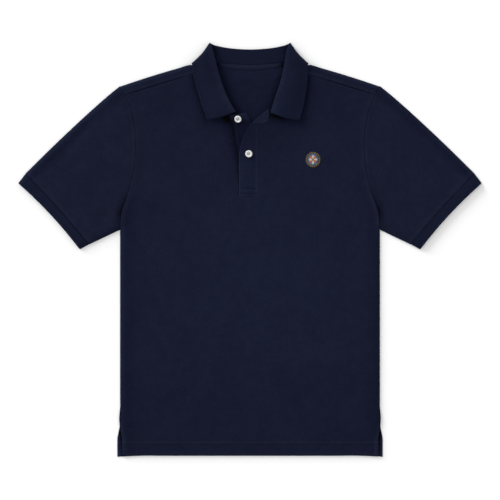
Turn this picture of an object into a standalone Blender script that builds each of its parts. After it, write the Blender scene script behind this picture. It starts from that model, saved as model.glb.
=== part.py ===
"""Short-sleeved polo shirt, laid flat on its back.

X runs to the wearer's left, Y from hem to collar, Z up from the surface that the shirt lies on.
The origin is on that surface, under the middle of the shirt's box. Sizes are in millimetres,
and MM turns them into metres where points become meshes.
"""

from collections import namedtuple
from math import cos, pi, radians, sin, tan

import bmesh
import bpy
import numpy as np

MM = 0.001

# Layers
CLOTH = 1.0  # wall of the pique panels
RIB = 1.5  # wall of the collar's flat-knit rib
CUFF_RIB = 1.2  # wall of the sleeve bands
SEAM = 0.4  # space between two pieces at their seam
TIP_GAP = 0.6  # more space at the shoulder tip, where two folds meet
SEAM_HEIGHT = 1.4  # underside of the upper layer where it is sewn to the lower one
LOFT = 2.0  # how much further the upper layer stands off inside the outline
LOFT_REACH = 14.0  # distance from an edge over which the loft grows
NECK_RISE = 4.4  # lift of the front neck by the collar
TUCK_LIFT = 2.0  # lift of the back neck, which lies on the collar's back leaf

# Body
HALF_CHEST = 250.0
HEM_Y = -395.9
HEM_DROP = 2.2  # the hem's corners hang this much lower than its middle
UNDERARM_Y = 40.0
VENT_TOP_Y = -339.0
VENT_SWING = 30.0  # the two sides of a vent part over this height
BACK_VENT_FLARE = 6.0
FRONT_VENT_TUCK = 2.4
HEM_SWING = 60.0  # the hem's drop fades out over this height above the vent's top
SHOULDER_TIP = (250.0, 315.6)
SHOULDER_SLOPE = radians(17.15)
SHOULDER_BOW = 1.2  # the shoulder line curves up by this much between tip and neck
FORWARD_SEAM = 20.4  # the shoulder seam sits this far below the fold, along Y
NECK_SIDE_X = 88.0
NECK_CENTRE_Y = 345.0
NECK_REACH = 90.0  # from the neck's centre to its lowest point
NECK_FADE = 0.9  # the neck's lift fades out over this share of the neck's size
NECK_TUCK = 3.8  # the shoulder fold drops this much under the collar's leaf
TUCK_END_X = 118.0  # the drop starts here and is full TUCK_SWING nearer the neck
TUCK_SWING = 14.0
CHEST_Y = 110.0  # level of the slash's lower end
ARMHOLE_LEVELS = (UNDERARM_Y, 58.0, 75.0, 92.0, CHEST_Y, 140.0, 170.0, 205.0, 240.0, 268.0, 298.0)
ARMHOLE_TOP_Y = 298.0  # where the forward shoulder seam meets the armhole
BACK_ARMHOLE = 0.85  # the back armhole is this much as deep as the front one

# Where the panels' grids have their lines, besides the armhole's levels
FRONT_LEVELS = (-385.0, -362.0, VENT_TOP_Y, -300.0, -250.0, -190.0, -130.0, -70.0, -15.0)
BACK_LEVELS = (-384.0, -362.0, VENT_TOP_Y, -290.0, -220.0, -140.0, -60.0, 0.0)
FRONT_SEAM_X = (208.0, 176.0, 145.0, 116.0)
BACK_SHOULDER_X = (222.0, 192.0, 162.0, 134.0, 110.0)
BACK_NECK_X = (66.0, 44.0, 22.0)

# Sleeves and cuffs
CUFF_SEAM = ((432.5, 147.0), (311.0, 11.6))  # upper and lower end of the seam
CUFF_MOUTH = ((446.6, 128.6), (328.4, 1.6))  # upper and lower end of the opening
CUFF_HOLLOW = 2.7  # the seam curves in by this much
MOUTH_HOLLOW = 4.5  # and the opening by this much
CUFF_INWARD = (-0.744, 0.669)  # square to the cuff, towards the body
SLEEVE_CROWN = 3.4  # the sleeve's upper fold curves out by this much
CROWN_SKEW = 0.75  # under 1 moves the fullest point towards the shoulder
CROWN_WAY = (0.69, 0.72)
TIP_REACH = 15.0  # TIP_GAP grows in over this height below the shoulder tip
CUFF_INSET = 1.4  # the band is narrower than the sleeve's end by this, at each end

# Collar
STAND_SHARES = (0.0, 0.35, 0.7, 0.93)  # where the stand has its points, from seam to roll
LEAF_SHARES = (0.07, 0.25, 0.5, 0.75, 1.0)  # and the leaf, from roll to edge
LEAF_PUFF = 1.0  # how far the front leaf stands off the stand between roll and edge
SIDE_HOLLOW = 3.3  # the leaf curves in by this much where it turns over at the side of the neck
SIDE_EDGE = 0.2  # and its edge lies in by this share of it

# Collar's back leaf, which lies under the back
LEAF_EDGE_Y = 339.0
LEAF_EDGE_RISE = 18.0  # its edge is this much higher at LEAF_HALF from the middle
LEAF_HALF = 113.0
LEAF_SWING = (36.0, 27.0)  # the back lifts this far below the edge, over this length
LEAF_SIDE = (145.0, 28.0)  # and from this far out, over this width

# Placket
UNDER_WALL = 1.2
PLACKET_GAP = 0.5  # between the slash and the under placket sewn into it
TOP_LIFT = 1.7  # underside of the top placket, above the underside of the front
TOP_WALL = 1.5

# Trims
TRIM_GAP = 0.3  # between a trim and the cloth below it
TAPE_WALL = 0.8
TAPE_HALF = 60.0
TAPE_DEPTH = 8.6  # in the middle; TAPE_TAPER less at its ends
TAPE_TAPER = 2.0
TAPE_BELOW_SEAM = 1.2
BUTTON_WALL = 2.6
BUTTON_LIFT = 0.8  # a button's underside stands this far off the placket below it
BUTTON_HOLE = 1.7
BUTTON_HOLE_SPACING = 3.3
MOTIF_CENTRE = (121.4, 174.0)
MOTIF_RADIUS = 14.2
MOTIF_STRETCH = 1.06  # it is this much higher than wide
MOTIF_WALL = 0.9

Point = namedtuple("Point", "x y")
Station = namedtuple("Station", "turn roll_x roll_y edge_x edge_y seam_x seam_y")
Turned = namedtuple("Turned", "radius height")

# The front armhole, from shoulder tip to underarm
ARMHOLE = [
    Point(250.0, 316.0),
    Point(240.1, 297.6),
    Point(228.9, 268.1),
    Point(222.7, 239.1),
    Point(220.4, 206.3),
    Point(221.8, 169.6),
    Point(225.6, 144.6),
    Point(232.0, 117.9),
    Point(240.1, 93.2),
    Point(247.4, 71.2),
    Point(250.0, 40.0),
]

# The front neckline, from the forward shoulder seam down to the slash
NECKLINE_RIGHT_BODY = [
    Point(-87.3, 345.0),
    Point(-84.0, 325.0),
    Point(-78.0, 304.0),
    Point(-69.0, 284.0),
    Point(-57.0, 268.0),
    Point(-40.5, 259.5),
]
NECKLINE_LEFT_BODY = [
    Point(87.3, 345.0),
    Point(85.0, 325.0),
    Point(80.5, 304.0),
    Point(73.0, 284.0),
    Point(62.0, 267.0),
    Point(48.0, 256.4),
    Point(33.0, 252.0),
    Point(11.0, 242.0),
]

# The slash that the placket is sewn into, from its lower end up, on either side
SLASH_RIGHT_BODY = [
    Point(-22.0, 110.0),
    Point(-22.0, 150.0),
    Point(-23.0, 182.0),
    Point(-25.8, 204.0),
    Point(-30.8, 225.6),
    Point(-35.0, 241.0),
    Point(-40.5, 259.5),
]
SLASH_LEFT_BODY = [
    Point(11.0, 110.0),
    Point(11.0, 242.0),
]

# The collar, station by station from its end on the wearer's right to the middle of the back.
# turn is 0 on the front, 90 where the collar folds at the side of the neck and 180 on the back.
COLLAR_RIGHT_BODY = [
    Station(0, -29.0, 265.4, -82.3, 250.6, -44.5, 262.4),
    Station(0, -39.2, 282.6, -91.8, 277.0, -58.0, 270.6),
    Station(0, -47.5, 300.0, -99.0, 300.0, -69.5, 286.4),
    Station(0, -54.6, 318.0, -104.6, 320.5, -78.0, 306.2),
    Station(0, -60.6, 337.0, -108.8, 338.0, -83.8, 327.0),
    Station(0, -66.0, 358.0, -110.6, 350.0, -86.6, 347.0),
    Station(15, -70.8, 378.0, -110.7, 354.8, -86.8, 357.5),
    Station(45, -73.0, 389.6, -110.2, 355.8, -86.0, 361.8),
    Station(90, -73.8, 393.4, -109.6, 356.6, -85.0, 363.6),
    Station(135, -73.0, 393.8, -109.0, 356.6, -83.0, 363.8),
    Station(180, -66.0, 392.6, -100.0, 352.4, -75.0, 363.0),
    Station(180, -46.0, 388.4, -68.0, 344.6, -50.0, 359.4),
    Station(180, -24.0, 386.0, -34.0, 340.8, -25.0, 357.2),
    Station(180, 0.0, 385.0, 0.0, 339.4, 0.0, 356.4),
]
COLLAR_LEFT_BODY = [
    Station(0, 41.0, 263.4, 95.0, 249.6, 52.5, 260.6),
    Station(0, 48.4, 288.0, 103.0, 277.0, 64.0, 273.4),
    Station(0, 54.2, 305.0, 107.0, 300.0, 73.6, 289.4),
    Station(0, 59.4, 321.0, 109.6, 320.0, 80.0, 307.0),
    Station(0, 63.8, 338.0, 110.8, 337.0, 84.6, 327.0),
    Station(0, 68.0, 358.0, 110.8, 350.0, 86.6, 347.0),
]

# Outline of the top placket: free edge, neck end, sewn edge
TOP_PLACKET_FREE = [
    Point(-21.2, 103.0),
    Point(-21.2, 130.0),
    Point(-21.2, 160.0),
    Point(-21.2, 192.0),
    Point(-18.7, 209.4),
    Point(-13.3, 220.6),
    Point(-6.6, 231.6),
    Point(2.3, 242.8),
    Point(13.3, 252.6),
    Point(24.5, 261.5),
    Point(35.5, 271.0),
]
TOP_PLACKET_SEWN = [
    Point(15.4, 103.0),
    Point(15.4, 130.0),
    Point(15.4, 160.0),
    Point(15.4, 190.0),
    Point(15.4, 207.0),
    Point(15.6, 219.0),
    Point(16.4, 230.0),
    Point(19.0, 239.0),
    Point(25.5, 244.2),
    Point(33.0, 246.5),
    Point(36.4, 258.0),
]

# The under placket's free edge, one point for each of the front's rows beside the slash
UNDER_PLACKET_FREE = [
    Point(10.5, 110.4),
    Point(10.5, 134.3),
    Point(10.3, 158.5),
    Point(9.6, 187.0),
    Point(7.6, 215.4),
    Point(3.0, 238.4),
    Point(-8.0, 263.6),
]

# Half of a button's section: dished middle, raised rim, flat underside
BUTTON_PROFILE = [
    Turned(0.0, 1.9),
    Turned(3.3, 1.9),
    Turned(4.5, 2.6),
    Turned(5.9, 2.5),
    Turned(6.7, 1.6),
    Turned(6.6, 0.8),
    Turned(5.1, 0.0),
    Turned(0.0, 0.0),
]

NAVY = (0.0095, 0.0116, 0.0273)
NAVY_RIB = (0.0090, 0.0108, 0.0250)
NAVY_TAPE = (0.0125, 0.0150, 0.0320)
BUTTON_COLOUR = (0.62, 0.61, 0.58)
MOTIF_COLOUR = (0.16, 0.25, 0.36)


def smooth_step(share):
    """Eased share from 0 to 1."""
    share = np.clip(share, 0.0, 1.0)
    return share * share * (3.0 - 2.0 * share)


def columns(table, *names):
    """The named columns of a table, as an array with one row for each of its rows."""
    return np.array([[getattr(row, name) for name in names] for row in table], float)


def blend(first, second, share):
    return first + (second - first) * share


def edge_distance(x, y):
    """Distance in from the nearest sewn or folded edge of the shirt."""
    spot = np.stack([np.abs(x), y], axis=-1)
    hem_corner = (HALF_CHEST, HEM_Y)
    underarm = (HALF_CHEST, UNDERARM_Y)
    neck_side = (NECK_SIDE_X, shoulder_y(NECK_SIDE_X))
    edges = [
        ((0.0, HEM_Y), hem_corner),
        (hem_corner, underarm),
        (underarm, CUFF_MOUTH[1]),
        (CUFF_MOUTH[0], SHOULDER_TIP),
        (SHOULDER_TIP, neck_side),
    ]
    nearest = np.full(np.shape(x), np.inf)
    for start, end in edges:
        start = np.array(start)
        run = np.array(end) - start
        share = np.clip(((spot - start) @ run) / (run @ run), 0.0, 1.0)
        gap = np.linalg.norm(spot - (start + share[..., None] * run), axis=-1)
        nearest = np.minimum(nearest, gap)
    return nearest


def shoulder_y(x):
    """Height of the shoulder line at distance x from the middle."""
    inward = SHOULDER_TIP[0] - np.abs(x)
    share = np.clip(inward / (SHOULDER_TIP[0] - TUCK_END_X), 0.0, 1.0)
    return SHOULDER_TIP[1] + inward * tan(SHOULDER_SLOPE) + 4.0 * SHOULDER_BOW * share * (1.0 - share)


def shoulder_fold_y(x):
    """Height of the back's fold: on the shoulder line, but tucked in under the collar's leaf."""
    return shoulder_y(x) - NECK_TUCK * smooth_step((TUCK_END_X - np.abs(x)) / TUCK_SWING)


def upper_layer(x, y):
    """Underside of the upper layer: sewn down at the edges, lofted inside, lifted round the neck."""
    loft = LOFT * (1.0 - np.exp(-((edge_distance(x, y) / LOFT_REACH) ** 2)))
    neck = np.hypot(x / NECK_SIDE_X, (y - NECK_CENTRE_Y) / NECK_REACH)
    return SEAM_HEIGHT + loft + NECK_RISE * (1.0 - smooth_step((neck - 1.0) / NECK_FADE))


def lower_layer(x, y):
    """Underside of the back: on the surface, but lifted where the collar's back leaf lies under it."""
    leaf_edge = LEAF_EDGE_Y + LEAF_EDGE_RISE * (x / LEAF_HALF) ** 2
    along_y = smooth_step((y - leaf_edge + LEAF_SWING[0]) / LEAF_SWING[1])
    across = smooth_step((LEAF_SIDE[0] - np.abs(x)) / LEAF_SIDE[1])
    return TUCK_LIFT * along_y * across


def armhole_x(y, depth=1.0):
    """Distance of the armhole seam from the middle, at height y."""
    curve = columns(ARMHOLE, "x", "y")[::-1]
    seam = np.interp(y, curve[:, 1], curve[:, 0])
    return HALF_CHEST - depth * (HALF_CHEST - seam)


def side_x(y, vent_shift, depth=1.0):
    """Distance of a panel's side from the middle: armhole, side seam, then vent."""
    vent = vent_shift * smooth_step((VENT_TOP_Y - y) / VENT_SWING)
    return np.where(y > UNDERARM_Y, armhole_x(y, depth), HALF_CHEST + vent)


def hem_shift(x, y):
    """How far a row near the hem drops towards the hem's corners."""
    drop = HEM_DROP * (np.abs(x) / HALF_CHEST) ** 8
    return -drop * smooth_step((VENT_TOP_Y - y) / HEM_SWING)


def material(name, colour, roughness, sheen=0.0):
    made = bpy.data.materials.new(name)
    made.use_nodes = True
    shader = made.node_tree.nodes["Principled BSDF"]
    shader.inputs["Base Color"].default_value = (*colour, 1.0)
    shader.inputs["Roughness"].default_value = roughness
    shader.inputs["Metallic"].default_value = 0.0
    shader.inputs["Sheen Weight"].default_value = sheen
    made.diffuse_color = (*colour, 1.0)
    return made


def link(obj, collection, finish):
    obj.data.materials.append(finish)
    collection.objects.link(obj)
    return obj


def sheet(name, points, wall, side, collection, finish, wrap=False, keep=None, cap=False):
    """A cloth wall on a grid of points. side is +1 or -1 for the face that it grows from, 0 for both.

    wrap closes the grid across its columns, keep drops cells, and cap fills the first row's ring.
    """
    rows, cols = points.shape[:2]
    index = np.arange(rows * cols).reshape(rows, cols)
    if wrap:
        index = np.concatenate([index, index[:, :1]], axis=1)
    corners = np.stack([index[:-1, :-1], index[:-1, 1:], index[1:, 1:], index[1:, :-1]], axis=-1)
    if keep is not None:
        corners = corners[keep]
    faces = corners.reshape(-1, 4).tolist()
    if cap:
        faces.append(index[0, :cols][::-1].tolist())
    mesh = bpy.data.meshes.new(name)
    mesh.from_pydata((points.reshape(-1, 3) * MM).tolist(), [], faces)
    tidy = bmesh.new()
    tidy.from_mesh(mesh)
    loose = [vertex for vertex in tidy.verts if not vertex.link_faces]
    bmesh.ops.delete(tidy, geom=loose, context="VERTS")
    tidy.to_mesh(mesh)
    tidy.free()
    mesh.shade_smooth()
    mesh.set_sharp_from_angle(angle=radians(50))
    obj = link(bpy.data.objects.new(name, mesh), collection, finish)
    shell = obj.modifiers.new("Wall", "SOLIDIFY")
    shell.thickness = wall * MM
    shell.offset = side
    shell.use_even_offset = True
    return obj


def chest_rise(top):
    """Shares of the way from chest level to top that give the side its armhole levels."""
    levels = [level for level in ARMHOLE_LEVELS if CHEST_Y <= level < top - 1.0] + [top]
    return ((np.array(levels) - CHEST_Y) / (top - CHEST_Y))[:, None]


def front_rise():
    """The same for the front, whose side ends at the forward seam."""
    return chest_rise(shoulder_y(side_x(ARMHOLE_TOP_Y, 0.0)) - FORWARD_SEAM - SEAM)


def slash_line(slash):
    """Points down one side of the slash, level with the front's rows."""
    curve = columns(slash, "x", "y")
    y = blend(CHEST_Y, curve[-1, 1], front_rise()[:, 0])
    return np.column_stack([np.interp(y, curve[:, 1], curve[:, 0]), y])


def half_front(neckline, slash, side):
    """Upper rows of one half of the front, from its side to the slash: below the seams and neckline."""
    seam_x = [side_x(ARMHOLE_TOP_Y, 0.0), *FRONT_SEAM_X]
    seam = [(side * x, shoulder_y(x) - FORWARD_SEAM - SEAM) for x in seam_x]
    top = np.array(seam + [tuple(spot) for spot in neckline])
    inner = slash_line(slash)
    level = np.linspace(side * side_x(CHEST_Y, 0.0), inner[0, 0], len(top))
    rise = front_rise()
    y = blend(CHEST_Y, top[None, :, 1], rise)
    x_line = blend(level[None, :], top[None, :, 0], rise)
    # The armhole and the slash are curved, so their bows are shared out over the columns beside them.
    outer_bow = side * side_x(y[:, :1], 0.0) - x_line[:, :1]
    inner_bow = inner[:, :1] - x_line[:, -1:]
    share = np.linspace(1.0, 0.0, len(top))[None, :]
    return x_line + outer_bow * share ** 2 + inner_bow * (1.0 - share) ** 2, y


def front_panel(collection, finish):
    """The front: a lower block of level rows, and two halves above it on either side of the slash."""
    right_x, right_y = half_front(NECKLINE_RIGHT_BODY, SLASH_RIGHT_BODY, -1)
    left_x, left_y = half_front(NECKLINE_LEFT_BODY, SLASH_LEFT_BODY, 1)
    upper_x = np.concatenate([right_x, left_x[:, ::-1]], axis=1)
    upper_y = np.concatenate([right_y, left_y[:, ::-1]], axis=1)
    share = upper_x[0] / side_x(CHEST_Y, 0.0)
    heights = np.array([HEM_Y, *FRONT_LEVELS, *ARMHOLE_LEVELS[:4]])
    half = side_x(heights, -FRONT_VENT_TUCK)[:, None]
    lower_x = share[None, :] * half
    lower_y = heights[:, None] + hem_shift(lower_x, heights[:, None])
    x = np.concatenate([lower_x, upper_x])
    y = np.concatenate([lower_y, upper_y])
    points = np.stack([x, y, upper_layer(x, y)], axis=-1)
    keep = np.ones((len(x) - 1, x.shape[1] - 1), bool)
    keep[len(heights):, right_x.shape[1] - 1] = False
    return sheet("front_panel", points, CLOTH, 1, collection, finish, keep=keep)


def back_panel(collection, finish):
    """The back: flat from hem to neck, then over each shoulder fold and down to the forward seam."""
    half = np.array([SHOULDER_TIP[0], *BACK_SHOULDER_X, NECK_SIDE_X, *BACK_NECK_X])
    top_x = np.concatenate([-half, [0.0], half[::-1]])
    shoulder = np.abs(top_x) > NECK_SIDE_X - 1.0
    seam_y = columns(COLLAR_RIGHT_BODY, "seam_x", "seam_y")[8:]
    neck_y = np.interp(-np.abs(top_x), seam_y[:, 0], seam_y[:, 1]) - SEAM
    crest = shoulder_fold_y(top_x)
    radius = 0.5 * (upper_layer(top_x, crest) + CLOTH - lower_layer(top_x, crest))
    fold_y = crest - radius / cos(SHOULDER_SLOPE)
    top_y = np.where(shoulder, fold_y, np.minimum(neck_y, fold_y))
    heights = np.array([HEM_Y, *BACK_LEVELS, *ARMHOLE_LEVELS[:4]])
    half_width = side_x(heights, BACK_VENT_FLARE)[:, None]
    spread = np.linspace(-1.0, 1.0, len(top_x))
    lower_x = spread[None, :] * half_width
    lower_y = heights[:, None] + hem_shift(lower_x, heights[:, None])
    rise = chest_rise(top_y[0])
    upper_y = blend(CHEST_Y, top_y[None, :], rise)
    straight = blend(spread[None, :] * side_x(CHEST_Y, 0.0, BACK_ARMHOLE), top_x[None, :], rise)
    bow = side_x(upper_y[:, :1], 0.0, BACK_ARMHOLE) - np.abs(straight[:, :1])
    upper_x = straight + spread[None, :] * np.abs(spread[None, :]) * bow
    x = np.concatenate([lower_x, upper_x])
    y = np.concatenate([lower_y, upper_y])
    flat = np.stack([x, y, lower_layer(x, y)], axis=-1)
    # Over the shoulder: an arc about the fold, then the strip down to the forward seam.
    out = np.stack([np.sign(top_x) * sin(SHOULDER_SLOPE), np.full(len(top_x), cos(SHOULDER_SLOPE))], axis=-1)
    axis_point = flat[-1, :, :2]
    low = flat[-1, :, 2]
    rows = [flat]
    for angle in np.radians([45.0, 90.0, 135.0, 180.0]):
        spot = axis_point + out * (radius * sin(angle))[:, None]
        rows.append(np.concatenate([spot, (low + radius * (1.0 - cos(angle)))[:, None]], axis=1)[None])
    for share in (0.5, 1.0):
        drop_y = share * (shoulder_y(top_x) - FORWARD_SEAM - axis_point[:, 1])
        spot = axis_point + np.stack([np.zeros(len(top_x)), drop_y], axis=-1)
        outer = np.abs(top_x) > SHOULDER_TIP[0] - 1.0
        tip = np.array([armhole_x(ARMHOLE_TOP_Y), shoulder_y(armhole_x(ARMHOLE_TOP_Y)) - FORWARD_SEAM])
        reach = blend(np.abs(axis_point[outer]), tip, share)
        spot[outer] = reach * np.stack([np.sign(top_x[outer]), np.ones(outer.sum())], axis=-1)
        inner = np.abs(np.abs(top_x) - NECK_SIDE_X) < 1.0
        spot[inner, 0] = np.sign(top_x[inner]) * (NECK_SIDE_X - 0.7 * share)
        height = upper_layer(spot[:, 0], spot[:, 1]) + CLOTH
        rows.append(np.concatenate([spot, height[:, None]], axis=1)[None])
    points = np.concatenate(rows)
    keep = np.ones((len(points) - 1, len(top_x) - 1), bool)
    keep[len(flat) - 1:] = (shoulder[1:] & shoulder[:-1] & (np.diff(top_x) < NECK_SIDE_X))[None, :]
    return sheet("back_panel", points, CLOTH, 1, collection, finish, keep=keep)


def tube_shares():
    """Shares across a sleeve from its upper fold to its lower one, level with the armhole's rows."""
    levels = np.array([*ARMHOLE_LEVELS, SHOULDER_TIP[1]])[::-1]
    return (levels[0] - levels) / (levels[0] - levels[-1])


def tube(name, ends, crown, wall, side, rings, collection, finish, inset=0.0):
    """A flattened tube between two lines across it: its upper layer, a fold, its lower layer, a fold.

    ends gives, for the upper and the lower layer, the line at the first and at the last ring.
    """
    across = tube_shares()
    arcs = np.radians([45.0, 90.0, 135.0])
    loops = []
    for share in np.linspace(0.0, 1.0, rings):
        layers = []
        for first, last in ends:
            line = blend(first, last, share)
            fullness = share ** CROWN_SKEW
            bulge = 4.0 * fullness * (1.0 - fullness) * crown
            layers.append(line + bulge * (1.0 - across)[:, None] * np.array(CROWN_WAY))
        run = layers[0][-1] - layers[0][0]
        length = np.linalg.norm(run)
        way = run / length
        height = 0.5 * (upper_layer(*layers[0][0]) + wall)
        margin = (height + inset) / length
        inside = np.clip(across, margin, 1.0 - margin)
        top, low = (np.stack([np.interp(inside, across, axis) for axis in layer.T], axis=-1) for layer in layers)
        low = low[::-1]
        top_z = upper_layer(top[:, 0], top[:, 1]) + wall
        loop = [np.column_stack([top, top_z])]
        for start, end, sign, z in ((top[-1], low[0], 1.0, top_z[-1]), (low[-1], top[0], -1.0, top_z[0])):
            radius = 0.5 * z
            for angle in arcs:
                spot = blend(start, end, angle / pi) + sign * way * radius * sin(angle)
                level = radius * (1.0 + sign * cos(angle))
                loop.append(np.array([[*spot, level]]))
            if sign > 0:
                loop.append(np.column_stack([low, np.zeros(len(low))]))
        loops.append(np.concatenate(loop))
    points = np.array(loops)
    points[..., 0] *= side
    return sheet(name, points, wall, -side, collection, finish, wrap=True)


def bowed(ends, hollow, shift=0.0):
    """A line between two ends that curves in towards the body by hollow, moved out by shift."""
    across = tube_shares()[:, None]
    line = blend(np.array(ends[0]), np.array(ends[1]), across)
    return line + np.array(CUFF_INWARD) * (4.0 * across * (1.0 - across) * hollow - shift)


def sleeve(name, side, collection, finish):
    heights = blend(SHOULDER_TIP[1], UNDERARM_Y, tube_shares())
    gap = SEAM + TIP_GAP * smooth_step((heights - ARMHOLE_TOP_Y) / TIP_REACH)
    front = np.column_stack([armhole_x(heights) + gap, heights])
    back = np.column_stack([armhole_x(heights, BACK_ARMHOLE) + gap, heights])
    cuff_end = bowed(CUFF_SEAM, CUFF_HOLLOW)
    return tube(name, ((front, cuff_end), (back, cuff_end)), SLEEVE_CROWN, CLOTH, side, 8, collection, finish)


def cuff(name, side, collection, finish):
    start = bowed(CUFF_SEAM, CUFF_HOLLOW, SEAM)
    mouth = bowed(CUFF_MOUTH, MOUTH_HOLLOW)
    lines = (start, mouth)
    return tube(name, (lines, lines), 0.0, CUFF_RIB, side, 3, collection, finish, inset=CUFF_INSET)


def collar_stations():
    """All stations in order: wearer's right front, back, wearer's left front."""
    names = Station._fields
    right = columns(COLLAR_RIGHT_BODY, *names)
    mirror = np.array([1, -1, 1, -1, 1, -1, 1])
    front = len(COLLAR_LEFT_BODY)
    back_half = right[front:-1][::-1] * mirror
    left = columns(COLLAR_LEFT_BODY, *names)[::-1]
    return np.concatenate([right, back_half, left])


def collar(collection, finish):
    """A folded strip: the stand runs from the seam to the roll, and the leaf from the roll to its edge.

    On the front the leaf is on top. At each side of the neck both turn over, the leaf outside the stand.
    """
    low_stand, low_leaf = TUCK_LIFT + 0.1 + RIB / 2, RIB / 2
    roll_gap = low_stand - low_leaf
    rows = []
    for turn, roll_x, roll_y, edge_x, edge_y, seam_x, seam_y in collar_stations():
        roll = np.array([roll_x, roll_y])
        edge = np.array([edge_x, edge_y])
        seam = np.array([seam_x, seam_y])
        away = (edge - roll) / np.linalg.norm(edge - roll)
        outward = np.array([-away[1], away[0]])
        if outward[1] < 0:
            outward = -outward
        turn = radians(turn)
        section = []
        for share in STAND_SHARES:
            section.append((blend(seam, roll, share), 0.0, 0.0))
        for angle in np.radians([0.0, 45.0, 90.0, 135.0, 180.0]):
            section.append((roll - away * 0.5 * roll_gap * sin(angle), 0.5 - 0.5 * cos(angle), 0.0))
        hollow = outward * SIDE_HOLLOW * sin(turn)
        for share in LEAF_SHARES:
            puff = LEAF_PUFF * sin(pi * min(1.0, share * 1.2)) * max(cos(turn), 0.0) ** 2
            inward = hollow * (sin(pi * share) + SIDE_EDGE * share ** 3)
            section.append((blend(roll, edge, share) - inward, 1.0, puff))
        line = []
        for spot, leaf, puff in section:
            front_z = upper_layer(spot[0], spot[1]) + RIB / 2 + leaf * roll_gap + puff
            back_z = blend(low_stand, low_leaf, leaf)
            middle, radius = 0.5 * (front_z + back_z), 0.5 * (front_z - back_z)
            spot = spot + outward * radius * sin(turn)
            line.append((*spot, middle + radius * cos(turn)))
        rows.append(line)
    return sheet("collar", np.array(rows), RIB, 0, collection, finish)


def under_placket_sewn():
    """The under placket's sewn edge: the slash's own line, moved in and clear of both its ends."""
    line = slash_line(SLASH_RIGHT_BODY)
    ends = line[:, 1].copy()
    ends[[0, -1]] += (SEAM, -2.0 * SEAM)
    return np.column_stack([np.interp(ends, line[:, 1], line[:, 0]) + PLACKET_GAP, ends])


def placket(name, left, right, lift, wall, collection, finish):
    """A strip between two edges, made from the front's own surface and moved out by lift."""
    across = np.linspace(0.0, 1.0, 5)[None, :, None]
    plan = blend(left[:, None, :], right[:, None, :], across)
    z = upper_layer(plan[..., 0], plan[..., 1]) + lift
    return sheet(name, np.concatenate([plan, z[..., None]], axis=-1), wall, 1, collection, finish)


def neck_tape(collection, finish):
    """The bound strip on the inside of the back, just below the neck seam."""
    seam = columns(COLLAR_RIGHT_BODY, "seam_x", "seam_y")[8:]
    x = np.linspace(-TAPE_HALF, TAPE_HALF, 15)
    upper = np.interp(-np.abs(x), seam[:, 0], seam[:, 1]) - TAPE_BELOW_SEAM
    depth = TAPE_DEPTH - TAPE_TAPER * (x / TAPE_HALF) ** 2
    y = upper[None, :] - depth[None, :] * np.array([1.0, 0.5, 0.0])[:, None]
    x = np.broadcast_to(x, y.shape)
    z = lower_layer(x, y) + CLOTH + TRIM_GAP
    return sheet("neck_tape", np.stack([x, y, z], axis=-1), TAPE_WALL, 1, collection, finish)


def chest_motif(collection, finish):
    """The embroidered disc, made from the front's own surface and moved out."""
    turns = np.linspace(0.0, 2.0 * pi, 24, endpoint=False)[None, :]
    reach = np.array([0.35, 0.7, 1.0])[:, None] * MOTIF_RADIUS
    x = MOTIF_CENTRE[0] + reach * np.sin(turns)
    y = MOTIF_CENTRE[1] + MOTIF_STRETCH * reach * np.cos(turns)
    z = upper_layer(x, y) + CLOTH + TRIM_GAP
    points = np.stack([x, y, z], axis=-1)
    return sheet("chest_motif", points, MOTIF_WALL, 1, collection, finish, wrap=True, cap=True)


def button(name, spot, lift, tilt, collection, cutters, finish):
    """A turned disc with a raised rim and a dished middle, and four holes cut through it."""
    mesh = bpy.data.meshes.new(name)
    points = [(spot.radius * MM, 0.0, spot.height * MM) for spot in BUTTON_PROFILE]
    mesh.from_pydata(points, [(i, i + 1) for i in range(len(points) - 1)], [])
    obj = link(bpy.data.objects.new(name, mesh), collection, finish)
    turned = obj.modifiers.new("Turned", "SCREW")
    turned.steps = turned.render_steps = 24
    turned.use_merge_vertices = True
    turned.merge_threshold = 0.00001
    turned.use_smooth_shade = True
    z = upper_layer(*spot) + lift
    obj.location = (spot[0] * MM, spot[1] * MM, z * MM)
    obj.rotation_euler = tilt
    reach = BUTTON_HOLE_SPACING / 2
    for number, (across, up) in enumerate(((-1, -1), (1, -1), (-1, 1), (1, 1))):
        bpy.ops.mesh.primitive_cylinder_add(
            vertices=10, radius=BUTTON_HOLE / 2 * MM, depth=3 * BUTTON_WALL * MM,
            location=(across * reach * MM, up * reach * MM, BUTTON_WALL / 2 * MM),
        )
        hole = bpy.context.object
        hole.name = f"{name}_hole_{number}"
        hole.parent = obj
        hole.hide_render = True
        hole.display_type = "WIRE"
        for owner in hole.users_collection:
            owner.objects.unlink(hole)
        cutters.objects.link(hole)
        cut = obj.modifiers.new(f"Hole {number}", "BOOLEAN")
        cut.operation = "DIFFERENCE"
        cut.object = hole
    return obj


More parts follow.
